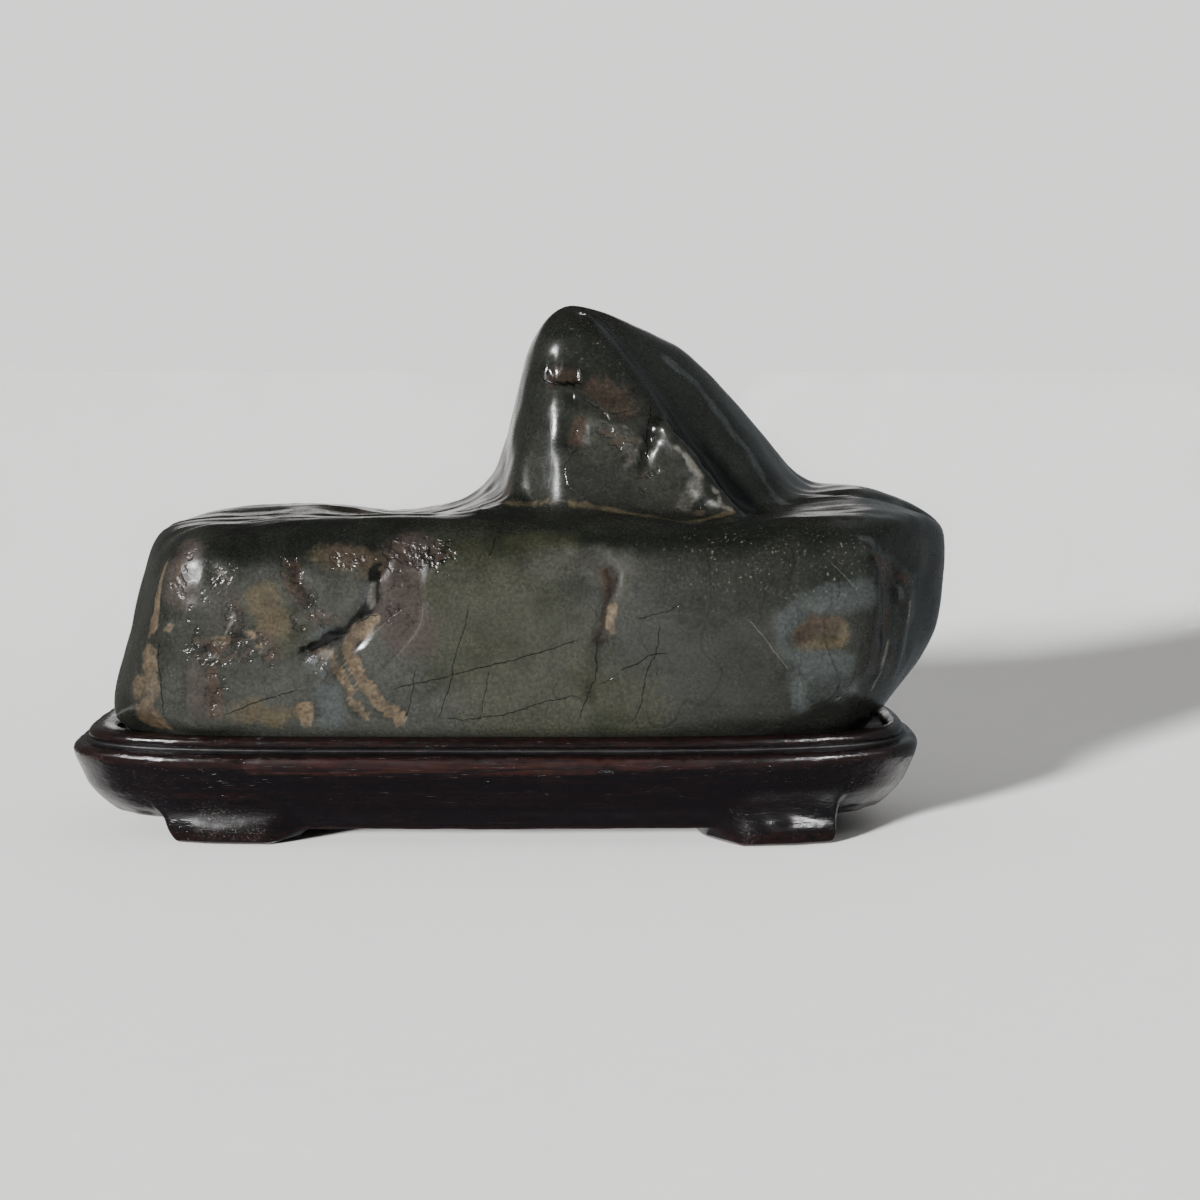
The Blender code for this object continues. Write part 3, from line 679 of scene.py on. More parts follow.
@dataclass
class Stone:
    """The stone: rounded hulls joined smoothly, with strokes and ledges pressed into their surface."""

    plan: StandPlan
    seat_gap: float = 0.3
    heart: Point = (18.0, 2.0, 44.0)
    columns: int = 560
    rings: int = 172
    relief_run: tuple[float, float] = (0.4, 5.0)
    hollow_reach: float = 4.0
    detail_passes: int = 10
    deepest_pit: float = 0.35
    highest_edge: float = 0.3
    tuck_inset: float = 8.4
    tuck_elevation: float = -46
    tuck_planes: int = 18
    cast_reach: tuple[float, float] = (8.0, 160.0)
    cast_steps: int = 18
    waves: tuple[tuple[float, float, int], ...] = ((26.0, 0.55, 1), (11.0, 0.30, 2), (5.5, 0.12, 3))

    def __post_init__(self) -> None:
        """Work out the planes that draw the stone's foot in, clear of the rim of the seat."""
        turns = even_turns(lambda turns: self.plan.ring(0, turns), 720, lambda places: np.ones(len(places)))
        corners = self.plan.seat_ring(self.tuck_inset, turns[:: len(turns) // self.tuck_planes])
        self.tuck = [LEFT_FOOT]
        for start, end in zip(corners, np.roll(corners, -1, axis=0)):
            along = end - start
            azimuth = math.degrees(math.atan2(-along[0], along[1]))
            self.tuck.append(Plane(azimuth, self.tuck_elevation, (*(start + end) / 2, self.plan.rim_top_z)))
        self.bed_z = self.plan.seat_z + self.seat_gap

    @staticmethod
    def hull(points: Array, sides: Sequence[Plane], blend: float) -> Array:
        """Signed distance from the rounded hull that the planes bound."""
        return smooth_max([plane.distance(points) for plane in sides], blend)

    def field(self, points: Array) -> Array:
        """Signed distance from the main forms: the block cut by its tops, joined to the peak's two bodies.

        Args:
            points: places in millimetres.

        Returns:
            The distance at each point, positive outside.
        """
        tops = smooth_min([self.hull(points, PLATEAU, 1.0), self.hull(points, RIGHT_LOBE, 1.8)], 1.2)
        tuck = np.max([plane.distance(points) for plane in self.tuck], axis=0)
        walls = smooth_max([self.hull(points, WALLS, 2.1), tuck, self.bed_z - points[:, 2]], 0.7)
        block = smooth_max([walls, tops], 1.8)
        peak = smooth_min([self.hull(points, FRONT_BUTTRESS, 1.6), self.hull(points, REAR_RIDGE, 1.2)], 1.0)
        left_flare = 4.0 * np.clip((6 - points[:, 0]) / 13, 0, 1)
        right_flare = np.clip((points[:, 0] - 60) / 13, 0, 1)
        return smooth_min([block, peak], 1.7 + left_flare + right_flare)

    def cast(self, directions: Array) -> Array:
        """Follow each ray out from the heart to the surface, halving the gap at every step."""
        heart = np.array(self.heart)
        near, far = (np.full(len(directions), reach) for reach in self.cast_reach)
        for _ in range(self.cast_steps):
            middle = (near + far) / 2
            inside = self.field(heart + directions * middle[:, None]) < 0
            near = np.where(inside, middle, near)
            far = np.where(inside, far, middle)
        return heart + directions * ((near + far) / 2)[:, None]

    def normals(self, points: Array, step: float = 0.05) -> Array:
        """Outward normals: the field's slope along each axis."""
        slopes = [self.field(points + step * axis) - self.field(points - step * axis) for axis in np.eye(3)]
        normals = np.stack(slopes, axis=1)
        return normals / np.linalg.norm(normals, axis=1)[:, None]

    def relief(self, points: Array, normals: Array) -> Array:
        """How far the finished surface stands out from the main forms.

        Args:
            points: places on the main forms.
            normals: outward normals there.

        Returns:
            The height of waves, strokes, ledges and the ripples of the tops, faded out towards the foot.
        """
        height = sum(swell * wave(points, size, seed) for size, swell, seed in self.waves)
        bent = points + self.wander(points)
        for mark in MARKS + LEDGES:
            height -= mark.press(bent)
        facing = smooth_step((-points[:, 1] - 18) / 8)
        height += 1.35 * facing * np.exp(-((points[:, 0] + 74) / 8) ** 2)
        height += self.ripples(points, normals) + self.chips(points)
        start, full = (self.plan.rim_top_z + rise for rise in self.relief_run)
        return height * np.clip((points[:, 2] - start) / (full - start), 0, 1)

    @staticmethod
    def wander(points: Array) -> Array:
        """Shifts that make every edge wander: waves of two sizes along each axis."""
        coarse = np.stack([wave(points, 4.2, seed) for seed in (41, 42, 43)], axis=1)
        fine = np.stack([wave(points, 1.9, seed) for seed in (44, 45, 46)], axis=1)
        return 0.85 * coarse + 0.4 * fine

    def ripples(self, points: Array, normals: Array) -> Array:
        """Long low ripples where the surface faces up: waves stretched along X, sharpened at their crests."""
        facing_up = smooth_step((normals[:, 2] - 0.55) / 0.35) * (points[:, 2] < 92)
        wander = 2.5 * wave(points, 24.0, 11)
        bent = points + np.stack([np.zeros(len(points)), wander, np.zeros(len(points))], axis=1)
        crests = 1 - np.abs(wave(bent, (34.0, 5.2, 60.0), 12))
        fine = wave(bent, (16.0, 2.4, 60.0), 13)
        return facing_up * (0.55 * (crests - 0.6) + 0.14 * fine)

    @staticmethod
    def hackly(points: Array) -> Array:
        """Where the surface is broken rather than polished: the left lobe, the scar and patches of the peak."""
        left = smooth_step((-44 - points[:, 0]) / 8) * smooth_step((-24 - points[:, 1]) / 6)
        scar = np.exp(-(path_distance(points, front((-21, 72), (-27, 63), (-27, 56))) / 6.5) ** 2)
        peak = np.exp(-(path_distance(points, ((18, -14, 106), (22, -15, 94), (34, -17, 88))) / 9) ** 2)
        back = smooth_step((points[:, 1] - 20) / 10) * smooth_step(wave(points, 30.0, 24) * 1.6)
        return np.clip(0.6 * left + 0.9 * scar + 0.5 * peak + 0.5 * back, 0, 1)

    def chips(self, points: Array) -> Array:
        """Small facets of the broken places: the folds of a wave where it changes sign."""
        folds = np.abs(wave(points, 4.6, 21)) + 0.5 * np.abs(wave(points, 2.3, 22))
        return 0.4 * self.hackly(points) * (0.5 - folds)

    @staticmethod
    def painted_shade(points: Array, normals: Array) -> Array:
        """Painted shade: how much the colour is darkened on the brow above the face, the tops, the peak and the right
        end, most on the show side and less at the peak's waist.
        """
        brow = smooth_step((points[:, 2] + 2.5 * wave(points, 14.0, 61) - 63) / 10)
        facing_up = smooth_step((normals[:, 2] - 0.1) / 0.5)
        right = 0.75 * smooth_step((points[:, 0] + 5) / 85)
        shown = 0.4 + 0.6 * smooth_step((20 - points[:, 1]) / 30)
        waist = np.exp(-((points[:, 0] - 22) / 16) ** 2 - ((points[:, 2] - 89) / 10) ** 2)
        darkest = np.max([0.92 * brow * shown, facing_up * (0.4 + 0.6 * shown), right * shown], axis=0)
        return darkest * (1 - 0.45 * waist)

    def directions(self) -> Array:
        """Rays from the heart through a grid of places near the surface, then straight down and straight up.

        Returns:
            One unit vector per vertex, ring by ring upwards from the bed.
        """
        rings = []
        for height, *outline in GUIDE_RINGS:
            turns = self.ring_turns(outline)
            rings.append(np.column_stack([rounded_oblong(*outline, turns), np.full(self.columns, float(height))]))
        rings = np.array(rings)
        steps = np.linalg.norm(np.diff(rings, axis=0), axis=2).mean(axis=1)
        travelled = np.concatenate([[0], np.cumsum(steps)])
        stations = np.linspace(0, travelled[-1], self.rings + 2)[1:-1]
        upper = np.clip(np.searchsorted(travelled, stations), 1, len(rings) - 1)
        share = ((stations - travelled[upper - 1]) / (travelled[upper] - travelled[upper - 1]))[:, None, None]
        grid = rings[upper - 1] * (1 - share) + rings[upper] * share
        rays = np.concatenate([grid.reshape(-1, 3) - np.array(self.heart), [[0, 0, -1], [0, 0, 1]]])
        return rays / np.linalg.norm(rays, axis=1)[:, None]

    def ring_turns(self, outline: Sequence[float]) -> Array:
        """Turns of one guide ring's columns: even steps on a long ring, even turns on a small round one."""
        def crowding(places: Array) -> Array:
            """Columns stand closer together towards the show side."""
            return 1 + 0.5 * smooth_step(0.5 - places[:, 1] / 60)
        even = even_turns(lambda turns: rounded_oblong(*outline, turns), self.columns, crowding)
        plain = np.arange(self.columns) / self.columns * 2 * np.pi
        evenness = min(1.0, outline[2] / 50)
        return evenness * even + (1 - evenness) * plain

    def softened(self, values: Array, passes: int) -> Array:
        """Average the grid's values with their neighbours again and again."""
        grid = values[:-2].reshape(self.rings, self.columns)
        for _ in range(passes):
            tall = np.pad(grid, ((1, 1), (0, 0)), mode="edge")
            grid = (tall[:-2] + tall[2:] + np.roll(grid, 1, axis=1) + np.roll(grid, -1, axis=1) + grid) / 5
        return np.concatenate([grid.ravel(), values[-2:]])

    def build(self) -> bpy.types.Object:
        """Make the stone and write its masks: stains, painted shade, and how hollow or proud the surface is.

        Returns:
            The stone's object.
        """
        surface = self.cast(self.directions())
        normals = self.normals(surface)
        height = self.relief(surface, normals)
        finished = surface + normals * height[:, None]
        rings = finished[:-2].reshape(self.rings, self.columns, 3)
        stone = closed_grid("dressed_stone", rings, finished[-2], finished[-1])
        reach = self.hollow_reach
        write_mask(stone, "hollow", np.clip(1 - self.field(surface + normals * reach) / reach, 0, 1))
        detail = height - self.softened(height, self.detail_passes)
        write_mask(stone, "pit", np.clip(-detail / self.deepest_pit, 0, 1))
        write_mask(stone, "proud", np.clip(detail / self.highest_edge, 0, 1))
        write_mask(stone, "hackly", self.hackly(surface))
        # painted shade: where the colour is darkened to stand in for shade
        write_mask(stone, "painted_shade", self.painted_shade(surface, normals))
        bent = surface + self.wander(surface)
        for name, stains in STAINS.items():
            write_mask(stone, name, np.max([stroke.stain(bent) for stroke in stains], axis=0))
        return stone


# Height, then middle, half length, half depth and squareness of each ring that guides the grid.
GUIDE_RINGS = (
    (23.8, 18, 0, 1, 1, 2.0),
    (23.8, -3, 0, 88, 33, 3.2),
    (50, 4, 0, 102, 40, 3.6),
    (76, 4, 0, 96, 36, 3.4),
    (81, 28, 2, 46, 29, 2.4),
    (100, 26, 2, 28, 20, 2.2),
    (127, 17, 0, 6, 5, 2.0),
    (129, 17, 0, 0.8, 0.8, 2.0),
)

STAINS = {
    # tan mineral, in veins and patches
    "ochre": front_strokes(
        (2.2, 1, (-36, 51.4), (-33.4, 52.4)), (1.6, 1, (-31.2, 54.8), (-34.4, 51)),
        (1.7, 1, (-36.8, 51.4), (-36.9, 47.6), (-35.4, 43), (-32.9, 38.6), (-30, 35)),
        (1.4, 1, (-30.3, 35.4), (-27.4, 32.8), (-25.1, 30.2)), (1, 0.9, (-43.6, 47.6), (-40.6, 45)),
        (1.35, 1, (-40.4, 43.6), (-38.2, 39.4), (-35.9, 34.4), (-33.3, 31.2)), (2.2, 1, (-47.8, 33), (-47.2, 30.6)),
        (1.5, 0.75, (-72, 50.2), (-66.6, 49.8)), (1.1, 0.8, (-61, 51), (-57.4, 47.6)),
        (1.4, 0.95, (24.9, 57.6), (24.5, 52.4)),
    ) + strokes(
        (1.2, 1, (-81.5, -32, 72), (-83, -31, 63), (-83.6, -31, 54)), (2, 1, (-83.8, -31, 53), (-84, -30, 47)),
        (1.3, 1, (-79.5, -34, 51.5), (-83, -31, 49)), (3.6, 1, (-84, -30, 45), (-84.2, -30, 38)),
        (4.8, 1, (-84.4, -30, 38), (-84, -30, 31)),
        (1.8, 1, (-22, 38, 68), (-15, 38.2, 57), (-17, 38.6, 46), (-8, 38.8, 30)),
        (1.5, 0.9, (-14, 38.6, 43), (-5, 38.8, 37), (-3, 38.8, 30)), (2.6, 0.8, (34, 38.4, 33), (44, 38.4, 30)),
        (1.9, 0.9, (107.6, 3, 62), (107.4, 7, 54), (106, 12, 46), (102.6, 17, 38)),
        (2.8, 0.9, (-93, 12, 46), (-94, 19, 33)),
    ),
    # pale rubbed edges, and painted highlights on the left lobe, the peak's front and the right end
    "pale_rub_and_highlight": front_strokes(
        (0.5, 0.9, (-72.6, 55), (-71.4, 50.6)), (0.5, 0.9, (-66.4, 51.6), (-64.6, 56)),
        (0.6, 0.9, (-71, 45.4), (-67, 46.2)), (0.6, 0.9, (-46.2, 45), (-42.6, 41.4)),
    ) + strokes(
        (0.6, 0.9, (96, -23.5, 57), (95.6, -24, 51.6)),
        (0.55, 0.9, (91.4, -30.5, 49), (90, -31, 44), (88.8, -30, 38), (87, -30, 33)),
        (0.5, 0.8, (79.4, -36.6, 39), (78.6, -36, 33)),
        (0.45, 0.8, (84.6, -36.4, 74), (87.6, -35.8, 68), (89.6, -34.6, 61)),
        (0.7, 0.5, (22, -15.2, 101), (28, -15.2, 99), (31.6, -15.2, 99.6)),
        (0.8, 0.5, (31.6, -16, 96), (30.5, -17.4, 92), (28, -18.9, 89.9)),
        (0.7, 0.8, (-90.2, 6, 67), (-91.6, 16, 60), (-92, 22, 50)),
        (0.7, 0.7, (20, 37.6, 70), (30, 37.6, 69), (42, 37.4, 70)),
    ),
    # painted highlights along the peak's front ridge, on the peak's front and on a ledge of the scar
    "sheen": front_strokes(
        (0.8, 0.8, (-31.6, 58), (-31.8, 62.6)),
    ) + strokes(
        (0.65, 0.8, (40, -15.8, 95), (43.4, -16.8, 91)), (0.9, 0.8, (44, -17, 90.4), (47, -18.6, 86.4)),
        (0.6, 0.8, (47.6, -19, 85.6), (50.6, -20.5, 82), (53, -22, 79.2)), (2.6, 0.36, (45, -19, 85), (43, -21, 81)),
        (2.6, 0.25, (28, -15.6, 98), (30, -17, 92)),
    ),
    # soft olive-tan patches
    "tan": front_strokes(
        (3.8, 0.9, (-57.6, 59.6), (-56.6, 56), (-55.2, 53.4)), (4.2, 0.7, (-44, 71), (-38, 70), (-33, 68.6)),
        (3, 0.8, (-60, 33), (-55, 31)), (2.4, 0.6, (-64, 33), (-50, 32)),
    ) + strokes(
        (1, 0.85, (-1.2, -18.5, 80.4), (7.6, -20.8, 80.5), (16, -24.5, 80.3), (22, -24.5, 79.7),
         (31.4, -26.5, 77.9), (43.6, -29, 77.2), (53.5, -22.3, 78.5)), (3.2, 1, (70.5, -40, 50.6), (78, -40, 51.6)),
    ),
    # brown and rosy iron stain
    "rust": front_strokes(
        (2.2, 0.8, (-70, 48.8), (-67.8, 48.2)), (2, 0.75, (-69.2, 42), (-68.6, 32)),
        (1.7, 0.9, (-69.8, 66.5), (-69.2, 63)), (2, 0.6, (-64.2, 59.6), (-63, 57)),
        (2.6, 0.62, (-50.8, 68), (-49, 60)), (4.2, 0.72, (-41.5, 71.5), (-33.8, 69.5)),
        (1.5, 0.6, (-46, 55.4), (-39.5, 54.6)), (1.5, 0.8, (-46, 47.6), (-41.5, 45.8)),
        (2.4, 0.55, (-58, 50), (-54, 46)), (2, 0.8, (23.4, 66), (23.8, 61)), (2.1, 0.62, (24, 58.5), (22.4, 50)),
    ) + strokes(
        (1, 1, (-77.6, -33.6, 70), (-77.4, -34, 61)), (2.2, 0.8, (70, -40, 50.6), (72, -40, 53.5), (77, -40, 53.6)),
        (1.5, 1, (88.6, -35.6, 68.4), (93, -30, 65), (96.6, -23, 62.6)),
        (1.6, 0.85, (90.4, -33.4, 64), (91, -32.4, 52)), (2.8, 0.75, (9.6, -11, 112), (15.4, -12, 112.4)),
        (4.4, 0.62, (22, -13, 109), (28, -14, 105)), (2.4, 0.85, (17, -15, 99.8), (17, -16, 95.5)),
        (2.2, 0.75, (33.6, -17, 86), (34, -18.5, 81.6)), (3, 0.62, (-2, -10, 86), (0, -13, 81)),
        (1.6, 0.7, (12.2, -19, 79.8), (27, -21, 78.6), (36.5, -22, 77), (46.5, -22, 77.6), (56, -18, 78.4)),
        (5, 0.6, (107.6, -2, 64), (106.6, 10, 50)), (6, 0.6, (100, 24, 50), (90, 34, 42)),
        (5, 0.65, (40, 39, 66), (50, 40, 57)), (4, 0.55, (-10, 39, 66), (2, 40, 60)),
        (4.4, 0.65, (18, 20, 105), (27, 22.6, 97)), (4.6, 0.65, (-91.6, 2, 64), (-92.4, 9, 50)),
        (5, 0.55, (-56, 6, 76), (-40, 12, 75)), (6, 0.6, (-60, 38, 62), (-44, 39, 44)),
    ),
    # pale bluish bloom on polished places, and painted highlights on ledges of the scar
    "bloom_and_highlight": front_strokes(
        (3.4, 0.75, (-42.4, 37), (-40.8, 31.4)), (1.7, 1, (-46.4, 45.4), (-43, 42)),
        (1.6, 0.6, (-45.6, 50.4), (-41.6, 51.6)), (0.9, 0.9, (-32.7, 62.4), (-32.9, 58.8)),
    ) + strokes(
        (1.8, 0.9, (68.6, -39.5, 39), (69.6, -39.4, 32)),
        (1.5, 1, (84, -36, 74.4), (88, -36, 70.4), (93.5, -29, 66.6), (98, -20, 62.6)),
        (1.1, 0.9, (94.4, -27, 62), (94.8, -26, 58.6)),
    ),
    # the same pale bluish colour drawn softly: painted reflections round the eye, along the peak's left edge and its
    # right ridge and on the right end, and soft bloom on the back
    "soft_bloom_and_reflection": strokes(
        (3.8, 0.66, (84.4, -38, 60.6), (76, -40, 59.4), (69.4, -40, 57.4), (66.4, -40, 53.4), (66.8, -40, 49),
         (71, -40, 45.2), (79, -39, 44)), (4.6, 0.45, (70, -39, 40), (82, -37, 37)),
        (2.4, 0.5, (10, -16, 97), (10.6, -19, 84)), (5, 0.55, (66, 38, 66), (60, 40, 56), (66, 40, 46)),
        (5, 0.5, (-72, 38, 56), (-66, 40, 42)),
        (1.3, 0.7, (38, 4, 116.5), (47.6, 4.3, 107.7), (58.3, 2, 94), (67, -4, 80.2)),
        (5, 0.4, (92, -31, 60), (90, -31, 40)),
    ),
    # whitish haze where the polish is dull, and on the peak a painted broad sheen where its facets catch the light
    "haze_and_sheen": front_strokes(
        (4.6, 0.7, (9, 68), (18, 68.5), (27, 66.5)), (2.4, 0.8, (27.6, 65), (27.6, 60.5)),
        (3, 0.35, (24, 46), (26, 42)), (9, 0.3, (-62, 52), (-60, 34)),
    ) + strokes(
        (4, 0.5, (37, -18, 86), (41, -19, 81)), (3.6, 0.45, (27, -15, 97), (31, -16, 92)),
        (7.5, 0.5, (22, -15.4, 99), (30, -17, 90), (38, -19, 82)), (4.5, 0.4, (7, -15, 94), (8, -17, 85)),
        (5, 0.5, (30, 19.5, 111), (24, 22.6, 98)), (7, 0.5, (-40, 40, 40), (-20, 40, 36)),
    ),
    # grey-purple ground of the scar and hollows
    "mauve": front_strokes(
        (6.8, 0.85, (-23, 72), (-25.5, 64), (-26.5, 57), (-23, 52)), (4, 0.55, (-72, 42), (-72, 34)),
        (6, 0.35, (-68, 60), (-66, 52)),
    ) + strokes(
        (4.5, 0.7, (-76.4, -33.5, 70), (-76.4, -34, 60)), (4.5, 0.55, (90, -32, 62), (86, -34, 42)),
        (5, 0.3, (30, -15, 105), (24, -14, 110)), (9, 0.6, (26, 40, 62), (56, 40, 52)),
        (8, 0.6, (-91.4, 2, 66), (-93.6, 8, 40)), (8, 0.5, (107.6, 6, 64), (104, 14, 44)),
    ),
    # warm olive ground
    "olive": front_strokes(
        (6, 0.7, (3, 74), (13, 71)), (20, 0.5, (-8, 58), (6, 40)), (9, 0.5, (14, 36), (30, 34)),
        (6, 0.4, (-56, 57), (-50, 50)),
    ) + strokes(
        (15, 0.6, (-6, 40, 54), (14, 40, 38)), (8, 0.6, (-91.6, 22, 60), (-93, 24, 34)),
    ),
    # near-black, crumbly places, and painted shadow along the ledges of the scar
    "soot_and_shadow": front_strokes(
        (3.2, 0.9, (-20.5, 72.4), (-16.5, 70.4)), (1.3, 0.95, (-29, 72), (-31.6, 68), (-31.2, 60), (-32.6, 56.6)),
        (1.3, 0.9, (-34, 55.6), (-39.5, 51.8), (-43.6, 49), (-48, 47.4)),
        (2.4, 0.85, (-30.6, 74), (-27, 71.6), (-21, 72)), (1.4, 0.75, (-22, 68.6), (-19.4, 66.6)),
        (1.2, 0.5, (-77.4, 72), (-77.4, 60)), (0.9, 0.9, (-80.6, 52), (-79.6, 42), (-78.4, 30)),
    ) + strokes(
        (0.7, 0.9, (9, -11, 110.6), (13, -11, 109.6), (17, -12, 111)),
        (0.6, 0.9, (85.6, -36.6, 72), (88, -36, 66), (89.4, -34.6, 60), (90, -33, 50), (87, -33, 40)),
    ),
    # crumbly places, full of small pits
    "crumble": front_strokes(
        (4.2, 1, (-69.4, 71), (-68, 65), (-70, 62)), (3, 1, (-75.6, 58), (-73.6, 50.4)),
        (3, 1, (-64.6, 56.6), (-64, 50)), (4.2, 1, (-73, 47.4), (-64, 46)), (4, 0.8, (-69, 42), (-68.4, 34)),
        (4, 0.9, (-52, 69), (-49.6, 62), (-46, 58)), (2.4, 0.9, (-49.6, 53.6), (-41, 55)),
        (3, 0.8, (-60, 51), (-55, 45)), (2.6, 1, (-46.6, 45.6), (-42.6, 41)), (4.6, 0.8, (-44, 71), (-33, 68)),
        (5.6, 1.1, (-29, 74), (-22, 71), (-16, 71)), (4.6, 0.75, (-27, 66), (-26, 57)),
    ) + strokes(
        (3.4, 0.8, (-76.4, -33.5, 70), (-76.4, -34, 61)), (4, 0.6, (17, -14, 106), (30, -14, 104)),
        (3, 0.6, (17, -15, 100), (16.6, -16, 94)), (5, 0.9, (26, -15, 98), (33, -17, 88)),
        (3.6, 0.8, (12, -19, 80), (36, -22, 77.4), (57, -18, 78.4)), (5, 0.8, (90, -32, 70), (94, -27, 63)),
        (4.6, 0.9, (-60, 38, 62), (-46, 40, 46)), (4.6, 0.9, (40, 39, 66), (50, 40, 57)),
        (4, 0.8, (-22, 39, 70), (-15, 40, 57)), (5, 0.9, (-91.6, 2, 66), (-92.6, 9, 48)),
        (5, 0.8, (107.6, 0, 62), (106, 12, 47)), (4, 0.8, (-60, 4, 76), (-38, 12, 75)),
    ),
    # specks of dust and lint
    "specks": front_strokes(
        (3, 0.6, (32, 72.5), (47, 70)),
    ) + strokes(
        (8, 0.9, (46, -38, 70), (60, -38, 69), (79, -37, 67)), (4.5, 1, (78, -38, 68), (81, -37, 64)),
        (7, 0.8, (16, -10, 123), (34, -8, 119)),
    ),
}

HAIRLINES = hairlines(
    Run.ALONG,
    (0.19, (-67.5, 31.4), (-62, 33.8), (-57.5, 35.4), (-48.6, 37.8)),
    (0.19, (-28.6, 37.7), (-15.7, 40.5), (-6.2, 43.1), (3.2, 45.3), (12.6, 48.2), (18.6, 50.5)),
    (0.17, (-15.7, 30.8), (-6, 31.2), (3.2, 33.1), (9, 34.9), (17.3, 36.3)),
    (0.19, (26.5, 42.4), (31.4, 44.3), (33.6, 45.8), (38.5, 46.4)),
    (0.15, (30.6, 54.7), (35, 55.6), (38, 56.6), (41.4, 58.8)), (0.14, (22, 39), (24.6, 40.6), (26.4, 41.8)),
    (0.19, (-35.5, 53.6), (-33, 54.8), (-30, 55.6)),
    (0.22, (6.8, 112.6), (8, 110.8), (10.5, 109.5), (14, 109.2), (16.4, 110), (17.4, 112.4)),
    (0.22, (16.4, 106.8), (20.8, 104), (24.5, 102.4), (29.4, 102.9), (31.5, 104)),
) + hairlines(
    Run.UPRIGHT,
    (0.16, (-24.4, 30.2), (-22.4, 36), (-22, 40), (-21.4, 42.8)),
    (0.19, (-17, 29.6), (-13.8, 37.8), (-12.2, 45), (-10.4, 51), (-8.6, 59.4)),
    (0.15, (-6.9, 30), (-5.2, 36), (-4.6, 40), (-3.8, 43)), (0.17, (-4.2, 68), (-3.7, 70), (-2.5, 74)),
    (0.19, (27.6, 28.6), (31.4, 33.6), (32, 36), (33.2, 42.4), (35.2, 47), (36.3, 54.6)),
    (0.22, (16.4, 29.8), (18.4, 34.4), (19.8, 38.2), (21.3, 42), (21.1, 46), (21.6, 50)),
    (0.21, (-81.8, 30), (-82.2, 38), (-83, 45), (-82.4, 50)), (0.28, (33.9, 91), (33.4, 96), (34.2, 101), (34.6, 105)),
    (0.19, (15.8, 83), (13.6, 89), (15.4, 92.6), (17.6, 94.6)),
)
BACK_HAIRLINES = hairlines(
    Run.ALONG,
    (0.2, (-70, 44), (-52, 47), (-30, 46), (-8, 51), (14, 50), (32, 55)),
    (0.17, (28, 38), (44, 42), (60, 41), (78, 47)),
) + hairlines(
    Run.UPRIGHT,
    (0.2, (-34, 30), (-31, 40), (-33, 52), (-29, 64), (-30, 72)), (0.17, (10, 30), (14, 38), (13, 47), (18, 60)),
    (0.2, (52, 30), (55, 42), (53, 56), (58, 70)),
)
# Pale scratches, and painted highlight lines on lit step edges of the scar and the peak's left edge.
SCRATCHES_AND_HIGHLIGHTS = hairlines(
    Run.ALONG,
    (0.21, (56.6, 54.6), (59.6, 51.6), (62, 48.4), (66.8, 42.4)), (0.13, (76, 68), (80, 64.2), (83, 61)),
    (0.15, (-34.9, 47.2), (-30.6, 51.8), (-27, 55), (-24.3, 57)),
) + hairlines(
    Run.UPRIGHT,
    (0.25, (9.6, 84), (10.2, 90), (10.2, 96), (10, 101)),
    (0.15, (-27.6, 44), (-25.2, 46.6), (-21.4, 51.4), (-19.8, 56), (-19.6, 59.4)),
)


# ---------------------------------------------------------------- the stand's forms

class Foot(NamedTuple):
    """One pair of feet, front and back, seen along X."""

    middle: float
    half_width: float
    left_run: float
    right_run: float
    toe_inset: float

    def edges(self) -> tuple[tuple[float, float], tuple[float, float]]:
        """The middle and the length of its left and right shoulders."""
        return (self.middle - self.half_width, self.left_run), (self.middle + self.half_width, self.right_run)

    def toe_x(self, x: Array, plan: StandPlan) -> Array:
        """Where columns of the outline stand once they are set in as far as the toe."""
        return plan.centre_x + (x - plan.centre_x) * (1 - 2 * self.toe_inset / plan.length)

    def share(self, x: Array, plan: StandPlan) -> Array:
        """How much of the foot's section each column has, from 0 to 1."""
        (left, left_run), (right, right_run) = self.edges()
        toe = self.toe_x(x, plan)
        return smooth_step(np.minimum((toe - left) / left_run, (right - toe) / right_run) + 0.5)

    def steps(self) -> tuple[tuple[float, float], ...]:
        """Insets and heights of the foot's section, from the apron down to the sole and in under the base."""
        toe = self.toe_inset
        return ((toe - 0.6, 8.0), (toe - 0.9, 4.2), (toe - 0.6, 1.6), (toe + 0.6, 0.0), (20.0, 0.0), (22.5, 3.6),
                (34.0, 3.6))


# Insets from the widest outline and heights of each section, in millimetres.
FEET = (Foot(-68.0, 14.0, 6.0, 11.0, 7.0), Foot(67.2, 12.6, 5.0, 5.5, 3.4))
SEAT_STEPS = ((30.0, 23.5), (9.4, 23.5), (8.6, 24.2), (8.3, 25.7), (7.5, 26.6))
RIM_STEPS = ((5.4, 26.6), (4.2, 25.6), (4.1, 24.3), (4.7, 23.3))
APRON_STEPS = ((3.3, 23.2), (1.1, 22.8), (0.1, 21.6), (0.0, 19.8), (0.7, 16.8), (2.4, 12.6), (4.7, 8.8), (7.2, 6.2),
               (8.6, 4.9), (9.6, 3.6), (20.0, 3.6), (22.5, 3.6), (34.0, 3.6))
END_STEPS = ((3.3, 23.2), (1.3, 22.8), (0.5, 21.6), (0.9, 19.8), (2.2, 16.8), (3.9, 12.6), (5.8, 10.0), (7.5, 7.9),
             (8.7, 6.8), (9.8, 5.8), *APRON_STEPS[-3:])


